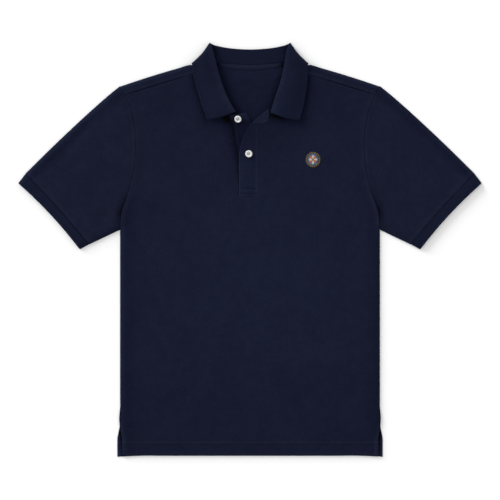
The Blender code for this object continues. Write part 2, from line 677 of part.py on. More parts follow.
def main():
    for obj in list(bpy.data.objects):
        bpy.data.objects.remove(obj)
    shirt = bpy.data.collections.new("polo_shirt")
    cutters = bpy.data.collections.new("cutters")
    bpy.context.scene.collection.children.link(shirt)
    bpy.context.scene.collection.children.link(cutters)

    pique = material("Navy pique", NAVY, 0.92, 0.2)
    rib = material("Navy rib", NAVY_RIB, 0.9, 0.2)
    tape = material("Navy tape", NAVY_TAPE, 0.85)
    shell = material("Button", BUTTON_COLOUR, 0.3)
    thread = material("Motif thread", MOTIF_COLOUR, 0.6)

    back_panel(shirt, pique)
    front_panel(shirt, pique)
    for side, name in ((1, "left"), (-1, "right")):
        sleeve(f"sleeve_{name}", side, shirt, pique)
        cuff(f"cuff_{name}", side, shirt, rib)
    collar(shirt, rib)
    under_free = columns(UNDER_PLACKET_FREE, "x", "y")
    placket("placket_under", under_placket_sewn(), under_free, 0.0, UNDER_WALL, shirt, pique)
    top_free, top_sewn = (columns(table, "x", "y") for table in (TOP_PLACKET_FREE, TOP_PLACKET_SEWN))
    placket("placket_top", top_free, top_sewn, TOP_LIFT, TOP_WALL, shirt, pique)
    neck_tape(shirt, tape)
    chest_motif(shirt, thread)
    on_under = UNDER_WALL + BUTTON_LIFT
    on_top = TOP_LIFT + TOP_WALL + BUTTON_LIFT
    button("button_neck", (-23.2, 251.4), on_under, (radians(-4), radians(6), 0.3), shirt, cutters, shell)
    button("button_chest", (-2.3, 184.9), on_top, (0, 0, 0.6), shirt, cutters, shell)


main()
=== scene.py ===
import bpy
import numpy as np
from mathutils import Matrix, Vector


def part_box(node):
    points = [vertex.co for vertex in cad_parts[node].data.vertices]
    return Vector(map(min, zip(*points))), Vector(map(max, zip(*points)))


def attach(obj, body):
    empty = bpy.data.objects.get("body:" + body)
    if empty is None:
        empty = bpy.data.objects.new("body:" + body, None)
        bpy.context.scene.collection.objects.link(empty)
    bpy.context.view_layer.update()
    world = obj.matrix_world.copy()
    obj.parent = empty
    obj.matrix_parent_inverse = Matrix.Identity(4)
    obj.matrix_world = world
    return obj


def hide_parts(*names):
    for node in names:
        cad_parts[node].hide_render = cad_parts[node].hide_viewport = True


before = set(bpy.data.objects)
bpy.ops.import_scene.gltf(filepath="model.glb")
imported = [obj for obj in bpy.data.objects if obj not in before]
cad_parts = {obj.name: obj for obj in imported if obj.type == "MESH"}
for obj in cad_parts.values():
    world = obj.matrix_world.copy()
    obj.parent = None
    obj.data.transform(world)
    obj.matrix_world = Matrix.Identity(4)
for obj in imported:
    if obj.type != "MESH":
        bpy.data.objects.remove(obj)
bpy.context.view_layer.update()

mm = 0.001
fullTurn = 2.0 * np.pi
# what the frame gives, in millimetres
backLow, backHigh = (np.array(corner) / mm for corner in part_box("back_panel"))
motifLow, motifHigh = (np.array(corner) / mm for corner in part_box("chest_motif"))

# sizes that the whole shirt shares, in millimetres: x to the wearer's left, y from hem to collar, z up
shirt = {
    "halfChest": 250.0,
    "hemY": backLow[1] + 2.2,
    "hemDrop": 2.2,  # how much lower the corners hang
    "underarmY": 40.0,
    "ventTopY": -339.0,
    "ventSwing": (4.0, 30.0),  # a vent's edge starts to swing this far above its top, over this height
    "ventSwell": (2.1, 14.0, 19.0),  # both layers swell out: how far, how high above the vent, half height
    "backFlare": backHigh[0] - 250.0,
    "frontTuck": (3.0, 4.2),  # at the wearer's left and right vent
    "backArmhole": 0.85,  # depth of the back's armhole as a share of the front's
    "tip": (250.0, 315.6),  # where shoulder and armhole meet
    "slope": np.tan(np.radians(17.15)),
    "shoulderBow": 1.2,
    "forwardSeam": 20.4,  # how far the shoulder seam lies in front of the fold
    "collarX": 118.0,
    "neckSide": 88.0,
    "neckTuck": (3.8, 14.0),  # the fold tucks in under the collar: how far, over what width
    "seamTop": 298.0,
    "slashY": 110.0,
    "mouth": ((446.6, 128.6), (328.4, 1.6)),
    "cuffSeam": ((432.5, 147.0), (311.0, 11.6)),
    "sleeveOut": (0.69, 0.72),  # the way that a sleeve's upper fold bulges
    "crown": 3.4,
    "crownSkew": 0.75,
    "wall": 0.8,
    "ribWall": 1.3,
    "gap": 0.12,
}

# how the upper layer stands off the lower one
loftLook = {
    "seam": 1.2, "full": 4.2, "reach": 13.0, "curve": 2.6,
    "collarX": (136.0, 26.0), "collarY": 250.0, "collarInside": 40.0,
    "neckMiddleY": 345.0, "neckHalf": (88.0, 90.0), "neckFade": 0.75, "neckRise": 4.6,
    "bodyFade": 30.0, "sleeveFade": 6.0, "seamBlend": 12.0,
}

# front armhole from shoulder tip to underarm
armholeLine = [
    (250.6, 316.5), (240.1, 297.6), (228.9, 268.1), (222.7, 239.1), (220.4, 206.3), (221.8, 169.6),
    (225.6, 144.6), (232.0, 117.9), (240.1, 93.2), (247.4, 71.2), (250.0, 40.0),
]

# soft creases on each layer; a plus depth is a ridge
frontCreases = [
    # x and y of one end, x and y of the other, depth, half width
    (-238, 60, -150, -40, -0.9, 16),
    (236, 66, 165, -20, -0.8, 15),
    (-205, 120, -120, 60, 0.6, 18),
    (208, 112, 128, 66, 0.5, 17),
    (-60, 70, -35, -60, -0.6, 22),
    (28, 84, 60, -90, -0.7, 24),
    (-150, -120, -60, -160, 0.6, 26),
    (70, -140, 190, -110, 0.7, 24),
    (-210, -200, -120, -260, -0.6, 24),
    (30, -240, 150, -290, -0.6, 26),
    (-40, -300, 40, -280, 0.5, 24),
    (200, -180, 214, -330, -0.5, 14),
    (-222, -60, -216, -250, -0.6, 13),
    (-110, 235, -60, 170, -0.7, 16),
    (120, 235, 60, 120, -0.7, 18),
    (-170, 270, -120, 220, 0.5, 17),
    (-50, 266, -36, 196, -0.9, 4.5),
    (-62, 262, -44, 180, 0.5, 6),
    (165, 275, 205, 200, -0.5, 14),
    (-200, 250, -190, 160, -0.5, 13),
]
sleeveCreases = [
    (262, 285, 418, 140, -1.1, 9),
    (300, 225, 392, 148, 0.7, 18),
    (244, 96, 300, 52, -1.2, 12),
    (262, 190, 330, 60, -0.7, 16),
    (330, 150, 376, 92, 0.5, 16),
    (246, 250, 286, 214, 0.5, 14),
]
backCreases = [
    (-230, 70, -150, -30, 0.5, 18),
    (232, 60, 160, -36, 0.5, 18),
    (-70, -40, 30, -120, 0.5, 26),
    (90, -190, 180, -250, 0.4, 24),
]


def easeStep(share):
    # 3t^2 - 2t^3 between 0 and 1
    share = np.clip(share, 0.0, 1.0)
    return share * share * (3.0 - 2.0 * share)


def mixed(first, second, share):
    # first + share of the way to second
    return first + (second - first) * share


def bell(away, width):
    # e to the minus (away / width) squared: 1 in the middle, a third at its width
    return np.exp(-((away / width) ** 2))


def softLines(away, lines):
    # sum of bells side by side; each line has its strength, its place and its half width
    return sum(strength * bell(away - place, width) for strength, place, width in lines)


def softSpots(x, y, spots):
    # sum of round bells; each spot has its strength, middle x and half width, middle y and half height
    return sum(strength * bell(x - midX, wide) * bell(y - midY, high)
               for strength, midX, wide, midY, high in spots)


def smoothLine(points, count):
    # Catmull-Rom curve through the points, read at even shares of its index
    points = np.asarray(points, float)
    padded = np.concatenate([2 * points[:1] - points[1:2], points, 2 * points[-1:] - points[-2:-1]])
    place = np.linspace(0.0, len(points) - 1.0, count)
    first = np.minimum(place.astype(int), len(points) - 2)
    t = (place - first)[:, None]
    a, b, c, d = (padded[first + step] for step in range(4))
    square, cube = 2 * a - 5 * b + 4 * c - d, 3 * b - a - 3 * c + d
    return 0.5 * (2 * b + (c - a) * t + square * t ** 2 + cube * t ** 3)


def lengthAlong(points, axis=0):
    # the length reached at each point: a running sum of the steps along one axis of a grid of points
    first = np.take(points, [0], axis=axis)
    return np.cumsum(np.linalg.norm(np.diff(points, axis=axis, prepend=first), axis=-1), axis=axis)


def evenLine(points, count):
    # the same line, read at even shares of its length
    points = np.asarray(points, float)
    reached = lengthAlong(points)
    wanted = np.linspace(0.0, reached[-1], count)
    return np.stack([np.interp(wanted, reached, axis) for axis in points.T], axis=-1)


def lineGap(x, y, line):
    # distance of each point from a line of points, and the length along the line where it is nearest
    line = np.asarray(line, float)[:, :2]
    start, run = line[:-1], np.diff(line, axis=0)
    length = np.linalg.norm(run, axis=1)
    spot = np.stack([x, y], axis=-1)[..., None, :] - start
    share = np.clip((spot * run).sum(-1) / (length ** 2), 0.0, 1.0)
    away = np.linalg.norm(spot - share[..., None] * run, axis=-1)
    best = away.argmin(-1)[..., None]
    along = lengthAlong(line)[:-1] + share * length
    return np.take_along_axis(away, best, -1)[..., 0], np.take_along_axis(along, best, -1)[..., 0]


def shoulderY(x):
    # the shoulder line rises from the tip towards the neck, and bows up by 4t(1 - t) up to the collar
    tipX, tipY = shirt["tip"]
    inward = tipX - np.abs(x)
    share = np.clip(inward / (tipX - shirt["collarX"]), 0.0, 1.0)
    return tipY + inward * shirt["slope"] + 4.0 * shirt["shoulderBow"] * share * (1.0 - share)


def shoulderFoldY(x):
    # the fold follows the shoulder line, and tucks in under the collar
    tuck, width = shirt["neckTuck"]
    return shoulderY(x) - tuck * easeStep((shirt["collarX"] - np.abs(x)) / width)


armholeCurve = smoothLine(armholeLine, 161)


def armholeX(y, depth=1.0):
    # distance of the armhole seam from the middle, at height y
    seam = np.interp(y, armholeCurve[::-1, 1], armholeCurve[::-1, 0])
    return shirt["halfChest"] - depth * (shirt["halfChest"] - seam)


def sideX(y, ventShift):
    # a panel's side: armhole, straight side seam, then the vent that swings out or in
    above, over = shirt["ventSwing"]
    swell, middle, width = shirt["ventSwell"]
    fromVent = y - shirt["ventTopY"]
    vent = ventShift * easeStep((above - fromVent) / over) + swell * bell(fromVent - middle, width)
    return np.where(y > shirt["underarmY"], armholeX(y), shirt["halfChest"] + vent)


def frontSideX(x, y):
    # the front's side edge, which tucks in at each vent
    return sideX(y, -np.where(x > 0, *shirt["frontTuck"]))


def creaseRelief(x, y, creases):
    # sum of soft troughs: a bell across each line, faded out at both ends, with a little wander
    height = np.zeros(np.shape(x))
    for x0, y0, x1, y1, depth, width in creases:
        run = np.array([x1 - x0, y1 - y0], float)
        length = np.linalg.norm(run)
        run /= length
        along = (x - x0) * run[0] + (y - y0) * run[1]
        across = -(x - x0) * run[1] + (y - y0) * run[0] + 0.05 * length * np.sin(along / length * 5.0 + x0)
        fade = easeStep(along / (0.4 * length)) * easeStep((length - along) / (0.45 * length))
        height += depth * fade * bell(across, width)
    return height


def crownBulge(share):
    # how far a sleeve's upper fold bulges out along its length: 4s(1 - s), with s the share bent by its skew
    full = share ** shirt["crownSkew"]
    return 4.0 * full * (1.0 - full) * shirt["crown"]


crownShare = np.linspace(0.0, 1.0, 13)[:, None]
crownLine = mixed(np.array(shirt["tip"]), np.array(shirt["cuffSeam"][0]), crownShare)
crownLine = crownLine + crownBulge(crownShare) * np.array(shirt["sleeveOut"])
# where the two layers are joined or folded: the side and the sleeve's lower fold, then its upper one
# and the shoulder
outerEdges = [
    np.array([(0.0, shirt["hemY"]), (shirt["halfChest"], shirt["hemY"]),
              (shirt["halfChest"], shirt["underarmY"]), shirt["mouth"][1]]),
    np.array([shirt["mouth"][0], *crownLine[::-1], (shirt["neckSide"], shoulderY(shirt["neckSide"]))]),
]


def upperFace(x, y):
    # underside of the upper layer: sewn down at its edges, lofted inside them, lifted round the neck
    look = loftLook
    side = np.abs(x)
    inside = np.minimum(*(lineGap(side, y, edge)[0] for edge in outerEdges))
    # under the collar the shoulder is thick right up to its fold
    start, over = look["collarX"]
    collared = easeStep((start - side) / over) * (y > look["collarY"])
    inward = 1.0 - np.clip(mixed(inside, look["collarInside"], collared) / look["reach"], 0.0, 1.0)
    loft = look["full"] * (1.0 - inward ** look["curve"])
    neck = np.hypot(x / look["neckHalf"][0], (y - look["neckMiddleY"]) / look["neckHalf"][1])
    near = 1.0 - easeStep((neck - 1.0) / look["neckFade"])
    body = creaseRelief(x, y, frontCreases) * easeStep(inside / look["bodyFade"])
    sleeve = creaseRelief(side, y, sleeveCreases) * easeStep(inside / look["sleeveFade"])
    onBody = easeStep((armholeX(y) - side) / look["seamBlend"] + 0.5)
    return look["seam"] + loft + look["neckRise"] * near + mixed(sleeve, body, onBody)


tuckLook = {"lift": 2.0, "leafY": 339.0, "leafDip": 18.0, "leafHalf": 113.0, "start": 36.0, "over": 27.0,
            "sideX": 145.0, "sideOver": 28.0}


def lowerFace(x, y):
    # underside of the back: on the surface, and lifted where the collar's back leaf lies under it
    look = tuckLook
    leafEdge = look["leafY"] + look["leafDip"] * (x / look["leafHalf"]) ** 2
    along = easeStep((y - leafEdge + look["start"]) / look["over"])
    return look["lift"] * along * easeStep((look["sideX"] - np.abs(x)) / look["sideOver"])


def placed(name, data):
    # puts a mesh, a light or a camera into the scene
    made = bpy.data.objects.new(name, data)
    bpy.context.scene.collection.objects.link(made)
    return made


def meshPiece(name, points, faces, material):
    # a smooth mesh from points in millimetres and lists of faces, which rides on the shirt's one body
    mesh = bpy.data.meshes.new(name)
    mesh.from_pydata((np.asarray(points) * mm).tolist(), [], faces)
    mesh.polygons.foreach_set("use_smooth", np.ones(len(mesh.polygons), bool))
    mesh.materials.append(material)
    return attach(placed(name, mesh), "root")


def cellCorners(grid):
    # the four corners of each cell of a grid, in the order of its face
    return np.stack([grid[:-1, :-1], grid[:-1, 1:], grid[1:, 1:], grid[1:, :-1]], axis=2)


def gridFaces(rows, cols, wrap=False):
    # faces of a numbered grid of points; a wrapped grid joins its last column to its first
    index = np.arange(rows * cols).reshape(rows, cols)
    if wrap:
        index = np.concatenate([index, index[:, :1]], axis=1)
    return cellCorners(index)


def clothObject(name, points, uv, wearAndShading, wall, grow, material, wrap=False, keep=None):
    # a wall of cloth on a grid of points in millimetres; grow is the side that the wall is added on
    rows, cols = points.shape[:2]
    quads = gridFaces(rows, cols, wrap)
    cells = np.ones(quads.shape[:2], bool) if keep is None else keep
    # only the points that a kept cell uses go into the mesh
    used, faces = np.unique(quads[cells].reshape(-1), return_inverse=True)
    piece = meshPiece(name, points.reshape(-1, 3)[used], faces.reshape(-1, 4).tolist(), material)
    mesh = piece.data
    if wrap:
        last = uv[:, :1] + (uv[:, -1:] - uv[:, -2:-1]) + (uv[:, -1:] - uv[:, :1])
        uv = np.concatenate([uv, last], axis=1)
    layer = mesh.uv_layers.new(name="cloth")
    layer.data.foreach_set("uv", (cellCorners(uv)[cells].reshape(-1) * mm).astype(np.float32))
    # each point's wear, into which painted shade and painted highlights are added
    mark = mesh.attributes.new("wearAndShading", "FLOAT", "POINT")
    mark.data.foreach_set("value", np.broadcast_to(wearAndShading, (rows, cols)).reshape(-1)[used].astype(np.float32))
    mesh.update()
    shell = piece.modifiers.new("wall", "SOLIDIFY")
    shell.thickness = wall * mm
    shell.offset = grow
    shell.use_even_offset = not wrap
    return piece


# rings along a thread: their places as shares of its length, and their radii as shares of its own
threadRings = {"places": [-0.5, -0.4, 0.0, 0.4, 0.5], "radii": [0.3, 0.85, 1.0, 0.85, 0.3]}
upward = (0.0, 0.0, 1.0)


def threadArray(centres, ways, up, lengths, radius, sides=5, bow=0.5):
    # each thread is a tube whose rings shrink to its ends and whose middle stands up by bow of its radius
    centres, ways = np.asarray(centres, float), np.asarray(ways, float)
    count = len(centres)
    ways = ways / np.linalg.norm(ways, axis=1)[:, None]
    across = np.cross(np.tile(up, (count, 1)), ways)
    across /= np.linalg.norm(across, axis=1)[:, None]
    rise = np.cross(ways, across)
    lengths = np.broadcast_to(lengths, count)
    spans = np.array(threadRings["places"])
    ring = np.array(threadRings["radii"])[:, None]
    turn = np.arange(sides) / sides * fullTurn
    side = radius * ring * np.cos(turn)
    lift = radius * (ring * np.sin(turn) + bow * (1.0 - (2.0 * spans[:, None]) ** 2))
    points = (
        centres[:, None, None, :]
        + ways[:, None, None, :] * (lengths[:, None] * spans)[:, :, None, None]
        + across[:, None, None, :] * side[None, :, :, None]
        + rise[:, None, None, :] * lift[None, :, :, None]
    )
    rings = len(spans)
    quads = gridFaces(rings, sides, wrap=True).reshape(-1, 4)
    first = np.arange(sides)
    ends = (first[::-1], first + (rings - 1) * sides)
    caps = np.concatenate([
        np.stack([np.full(sides - 2, end[0]), end[1:-1], end[2:]], axis=-1) for end in ends
    ])
    offset = np.arange(count)[:, None, None] * (rings * sides)
    return points.reshape(-1, 3), (quads[None] + offset).reshape(-1, 4), (caps[None] + offset).reshape(-1, 3)


def threadObject(name, parts, material):
    # joins several thread arrays into one piece
    points, quads, caps, reached = [], [], [], 0
    for part in parts:
        points.append(part[0])
        quads.append(part[1] + reached)
        caps.append(part[2] + reached)
        reached += len(part[0])
    faces = np.concatenate(quads).tolist() + np.concatenate(caps).tolist()
    return meshPiece(name, np.concatenate(points), faces, material)


stitch = {"pitch": 3.1, "length": 2.3, "radius": 0.22, "lift": 0.02}


def stitchRow(line, height, down=False):
    # stitches at an even pitch along a line; height gives the cloth's face under each
    line = np.asarray(line, float)
    count = max(2, int(lengthAlong(line[:, :2])[-1] / stitch["pitch"]))
    spots = evenLine(line, 2 * count + 1)
    centres, ways = spots[1::2], spots[2::2] - spots[:-2:2]
    z = height(centres[:, 0], centres[:, 1])
    rise = height(spots[2::2, 0], spots[2::2, 1]) - height(spots[:-2:2, 0], spots[:-2:2, 1])
    centres = np.column_stack([centres[:, :2], z if down else z + stitch["lift"]])
    ways = np.column_stack([ways[:, :2], rise])
    up = (0.0, 0.0, -1.0) if down else upward
    return threadArray(centres, ways, up, stitch["length"], stitch["radius"])


def socketed(tree, kind, inputs=None, **settings):
    # adds a node, sets its properties, and fills or links its inputs by name or number
    made = tree.nodes.new(kind)
    for name, value in settings.items():
        setattr(made, name, value)
    for name, value in (inputs or {}).items():
        if isinstance(value, bpy.types.NodeSocket):
            tree.links.new(value, made.inputs[name])
        else:
            made.inputs[name].default_value = value
    return made


def calculated(tree, operation, *values, clamp=False):
    # one Math node
    inputs = dict(enumerate(values))
    return socketed(tree, "ShaderNodeMath", inputs, operation=operation, use_clamp=clamp).outputs[0]


def blended(tree, factor, first, second, **settings):
    # one Mix node on two colours, whose sockets are its seventh and eighth
    inputs = {"Factor": factor, 6: first, 7: second}
    return socketed(tree, "ShaderNodeMix", inputs, data_type="RGBA", **settings).outputs[2]


def noisy(tree, place, scale, detail=2.0, distortion=0.0):
    # one Noise node
    inputs = {"Vector": place, "Scale": scale, "Detail": detail, "Distortion": distortion}
    return socketed(tree, "ShaderNodeTexNoise", inputs).outputs["Fac"]


def newGroup(name, inputs, outputs):
    # a shader node group with named sockets
    tree = bpy.data.node_groups.new(name, "ShaderNodeTree")
    for socketName, kind, value in inputs:
        made = tree.interface.new_socket(name=socketName, in_out="INPUT", socket_type=kind)
        made.default_value = value
    for socketName, kind in outputs:
        tree.interface.new_socket(name=socketName, in_out="OUTPUT", socket_type=kind)
    return tree, tree.nodes.new("NodeGroupInput").outputs, tree.nodes.new("NodeGroupOutput").inputs


def newMaterial(name, roughness, specular):
    # a material, its nodes, its shader and the place on the object that patterns are read from
    made = bpy.data.materials.new(name)
    made.use_nodes = True
    tree = made.node_tree
    shader = tree.nodes["Principled BSDF"]
    shader.inputs["Roughness"].default_value = roughness
    shader.inputs["Specular IOR Level"].default_value = specular
    return made, tree, shader, socketed(tree, "ShaderNodeTexCoord").outputs["Object"]


dyeLook = {
    # scale, strength and detail of each size of noise
    "noises": [(13.0, 0.5, 2.0), (60.0, 0.75, 4.0), (240.0, 0.8, 3.0)],
    "paleShare": 0.2,  # share of the pale colour where wear and painted highlights reach 1
    "shaded": (0.55, 0.55, 0.70, 1),  # what half-shaded cloth keeps of each colour
    "shadeAt": -0.45,  # value of wear and painted shade at which that is reached; from there to -1 the cloth goes black
}


def dyeAndShadingGroup():
    # garment dye with painted light and shade: the input is the share that the cloth is brighter or darker
    # by, plus for fading and painted highlights, minus mostly for painted shade; three sizes of noise vary
    # it
    tree, given, out = newGroup(
        "garmentDyeAndShading",
        [("Place", "NodeSocketVector", (0, 0, 0)), ("Dye", "NodeSocketColor", (0.01, 0.01, 0.03, 1)),
         ("FadedAndLit", "NodeSocketColor", (0.03, 0.04, 0.08, 1)), ("WearAndShading", "NodeSocketFloat", 0.0),
         ("Mottle", "NodeSocketFloat", 1.0)],
        [("Colour", "NodeSocketColor")],
    )
    look = dyeLook
    total = None
    for scale, strength, detail in look["noises"]:
        centred = calculated(tree, "SUBTRACT", noisy(tree, given["Place"], scale, detail), 0.5)
        part = calculated(tree, "MULTIPLY", centred, strength)
        total = part if total is None else calculated(tree, "ADD", total, part)
    mottled = calculated(tree, "MULTIPLY", total, given["Mottle"])
    wornAndShaded = calculated(tree, "ADD", mottled, given["WearAndShading"])
    paler = calculated(tree, "MULTIPLY", calculated(tree, "MAXIMUM", wornAndShaded, 0.0), look["paleShare"])
    # shaded cloth keeps more of its blue at first, then goes black
    deeper = calculated(tree, "DIVIDE", wornAndShaded, look["shadeAt"], clamp=True)
    black = calculated(tree, "MULTIPLY_ADD", wornAndShaded, -1.82, -0.82, clamp=True)
    pale = blended(tree, paler, given["Dye"], given["FadedAndLit"])
    blue = blended(tree, 1.0, given["Dye"], look["shaded"], blend_type="MULTIPLY")
    dark = blended(tree, black, blended(tree, deeper, pale, blue), (0.0, 0.0, 0.0, 1))
    tree.links.new(dark, out["Colour"])
    return tree


def waveGroup(name, kind):
    # a knit's relief from its own directions: cos times cos for pique, |cos| for ribs, slanted cos for twill
    tree, given, out = newGroup(
        name,
        [("Cloth", "NodeSocketVector", (0, 0, 0)), ("Across", "NodeSocketFloat", 1.7),
         ("Along", "NodeSocketFloat", 1.4)],
        [("Height", "NodeSocketFloat")],
    )
    parts = socketed(tree, "ShaderNodeSeparateXYZ", {0: given["Cloth"]}).outputs
    turns = []
    for axis, pitch in ((parts["X"], given["Across"]), (parts["Y"], given["Along"])):
        scaled = calculated(tree, "MULTIPLY", axis, fullTurn / mm)
        turns.append(calculated(tree, "DIVIDE", scaled, pitch))
    if kind == "pique":
        waves = [calculated(tree, "COSINE", turn) for turn in turns]
        height = calculated(tree, "MULTIPLY", *waves)
    elif kind == "rib":
        ribs = calculated(tree, "ABSOLUTE", calculated(tree, "COSINE", turns[0]))
        courses = calculated(tree, "MULTIPLY", calculated(tree, "COSINE", turns[1]), 0.22)
        height = calculated(tree, "ADD", ribs, courses)
    else:
        height = calculated(tree, "COSINE", calculated(tree, "ADD", *turns))
    tree.links.new(height, out["Height"])
    return tree


print("materials")
# dye group that also paints light and shade from each piece's wear attribute
dye = dyeAndShadingGroup()
knits = {kind: waveGroup(kind + "Relief", kind) for kind in ("pique", "rib", "twill")}

# across and along are the knit's pitches in millimetres; depth is its relief in metres
clothLook = {
    "pique": {"dye": (0.0051, 0.00728, 0.0206, 1), "mottle": 0.62, "roughness": 0.9, "sheen": 0.06,
              "knit": "pique", "across": 1.7, "along": 1.45, "depth": 0.00022},
    "rib": {"dye": (0.0044, 0.00645, 0.0190, 1), "mottle": 0.5, "roughness": 0.88, "sheen": 0.06,
            "knit": "rib", "across": 2.9, "along": 1.3, "depth": 0.00034},
    "tape": {"dye": (0.0066, 0.0090, 0.0230, 1), "mottle": 0.3, "roughness": 0.85, "sheen": 0.05,
             "knit": "twill", "across": 1.0, "along": 0.9, "depth": 0.0002},
}
# the pale colour that fading and painted highlights both mix towards
fadedAndLitDye = (0.040, 0.050, 0.098, 1)
fibreSheen = (0.45, 0.52, 0.8, 1)


def clothMaterial(name, look):
    # dye group with wear and painted light and shade on Base Color, knit relief on a Bump node, fine fibre
    # noise on top of it
    made, tree, shader, place = newMaterial(name, look["roughness"], 0.05)
    flat = socketed(tree, "ShaderNodeUVMap", uv_map="cloth").outputs["UV"]
    wearAndShading = socketed(tree, "ShaderNodeAttribute", attribute_name="wearAndShading").outputs["Fac"]
    colour = socketed(tree, "ShaderNodeGroup", node_tree=dye)
    relief = socketed(tree, "ShaderNodeGroup", node_tree=knits[look["knit"]])
    for source, target in ((place, colour.inputs["Place"]), (wearAndShading, colour.inputs["WearAndShading"]),
                           (flat, relief.inputs["Cloth"])):
        tree.links.new(source, target)
    colour.inputs["Dye"].default_value = look["dye"]
    colour.inputs["FadedAndLit"].default_value = fadedAndLitDye
    colour.inputs["Mottle"].default_value = look["mottle"]
    relief.inputs["Across"].default_value = look["across"]
    relief.inputs["Along"].default_value = look["along"]
    fibres = noisy(tree, place, 1500.0)
    height = calculated(tree, "ADD", calculated(tree, "MULTIPLY", relief.outputs[0], 0.5), fibres)
    bump = socketed(tree, "ShaderNodeBump", {"Height": height, "Strength": 0.7, "Distance": look["depth"]})
    tree.links.new(colour.outputs[0], shader.inputs["Base Color"])
    tree.links.new(bump.outputs[0], shader.inputs["Normal"])
    shader.inputs["Sheen Weight"].default_value = look["sheen"]
    shader.inputs["Sheen Roughness"].default_value = 0.5
    shader.inputs["Sheen Tint"].default_value = fibreSheen
    return made


def threadMaterial(name, colour, roughness=0.6):
    # spun thread: colour varied along it, slanted ply lines as relief
    made, tree, shader, place = newMaterial(name, roughness, 0.2)
    darker = tuple(0.6 * part for part in colour) + (1,)
    tone = blended(tree, noisy(tree, place, 900.0), darker, (*colour, 1))
    ply = socketed(tree, "ShaderNodeTexWave", {"Vector": place, "Scale": 700.0, "Distortion": 1.0},
                   bands_direction="DIAGONAL")
    relief = {"Height": ply.outputs["Fac"], "Strength": 0.4, "Distance": 0.0001}
    bump = socketed(tree, "ShaderNodeBump", relief)
    tree.links.new(tone, shader.inputs["Base Color"])
    tree.links.new(bump.outputs[0], shader.inputs["Normal"])
    return made


resinLook = {"deep": (0.54, 0.535, 0.52, 1), "pale": (0.76, 0.755, 0.74, 1), "roughness": (0.22, 0.2)}


def buttonMaterial():
    # off-white resin with a faint clouding, lightly polished; the clouds are a little rougher
    look = resinLook
    made, tree, shader, place = newMaterial("buttonResin", 0.5, 0.5)
    cloud = noisy(tree, place, 160.0, 3.0, 0.8)
    least, more = look["roughness"]
    tree.links.new(blended(tree, cloud, look["deep"], look["pale"]), shader.inputs["Base Color"])
    tree.links.new(calculated(tree, "MULTIPLY_ADD", cloud, more, least), shader.inputs["Roughness"])
    return made


piqueCloth, ribCloth, tapeCloth = (clothMaterial("navy" + kind.capitalize(), clothLook[kind])
                                   for kind in ("pique", "rib", "tape"))
threadColours = {"seam": (0.005, 0.007, 0.019), "button": (0.16, 0.17, 0.19)}
seamThread = threadMaterial("navyThread", threadColours["seam"], 0.8)
buttonThread = threadMaterial("greyThread", threadColours["button"])
buttonResin = buttonMaterial()


# the seam's own shape: half width of its line, place and half width of its sunk row of stitches, the row's
# depth and painted shade, the pitch of its puckers, and their height and share of the pale tone
seamShape = {"line": 0.9, "row": (5.2, 0.55), "rowDepth": 0.08, "rowShade": 0.06, "pitch": 11.0,
             "pucker": 0.05, "puckerTone": 0.15}


def seamRelief(gap, along, ridge=0.4, end=6.2, groove=0.4, light=0.26, dark=0.35):
    # height and tone beside a seam: a groove on the line, a raised allowance with a sunk row, and puckers;
    # the allowance is paler from fading, the line and the sunk row carry painted shade
    look = seamShape
    band = easeStep((gap - 0.5) / 1.6) * easeStep((end + 1.6 - gap) / 3.0)
    line = bell(gap, look["line"])
    place, width = look["row"]
    sunk = bell(gap - place, width)
    pucker = np.sin(along / look["pitch"] * fullTurn + 1.4 * np.sin(along / 37.0))
    pucker = pucker * easeStep((end + 5.0 - gap) / 6.0)
    height = 0.5 * ridge * band - groove * line - look["rowDepth"] * sunk
    wearAndShading = light * band * (1.0 - look["puckerTone"] + look["puckerTone"] * pucker)
    height = height + look["pucker"] * pucker * easeStep(gap / 1.5)
    # the seam's line and its sunk row are darkened with painted shade
    return height, wearAndShading - dark * line - look["rowShade"] * sunk


# what differs from one seam to the next: ridge and groove heights, pale tones and painted shade on the line
seamLook = {
    "armhole": {"ridge": 0.3, "dark": 0.34, "groove": 0.3},
    "shoulderFront": {"ridge": 0.1, "light": 0.03, "dark": 0.14},
    "shoulderBack": {"ridge": 0.3, "light": 0.20, "dark": 0.2},
    "cuff": {"ridge": 0.35, "light": 0.12, "dark": 0.4, "groove": 0.3},
}
# columns beside an edge or a seam, in millimetres from it
fineSteps = np.array([0.0, 0.5, 1.0, 1.6, 2.6, 3.8, 4.7, 5.3, 6.0, 6.8, 8.0, 10.0])


def gradedColumns(length, fine, coarse, tail):
    # from 0 to each length: fine steps, an even stretch, then the tail's fine steps mirrored
    length = length[:, None]
    head = np.broadcast_to(fine, (len(length), len(fine)))
    foot = length - tail[::-1]
    shares = np.linspace(0.0, 1.0, coarse + 2)[1:-1]
    return np.concatenate([head, mixed(head[:, -1:], foot[:, :1], shares), foot], axis=1)


hemLook = {
    "depth": 24.6, "rise": 0.3, "row": 2.6,
    # strength, place above the hem line, half width: a pale line, and below it a dark line of painted shade
    # in the sunk row
    "lineTones": [(0.32, 1.6, 1.6), (-0.2, -2.4, 1.4)],
    # strength, place above the bottom edge, half width
    "edgeTones": [(0.30, 3.6, 4.0), (-0.08, 2.6, 0.8), (0.30, 0.0, 1.6)],
    # row heights for a mesh, close together at the bottom edge and at the hem line
    "rows": [0, 0.4, 0.9, 1.6, 2.6, 3.6, 4.6, 5.6, 7, 10, 13, 16, 18, 19.2, 20.4, 22, 23, 23.8, 24.4, 25,
             25.8, 27, 28.5, 31],
}


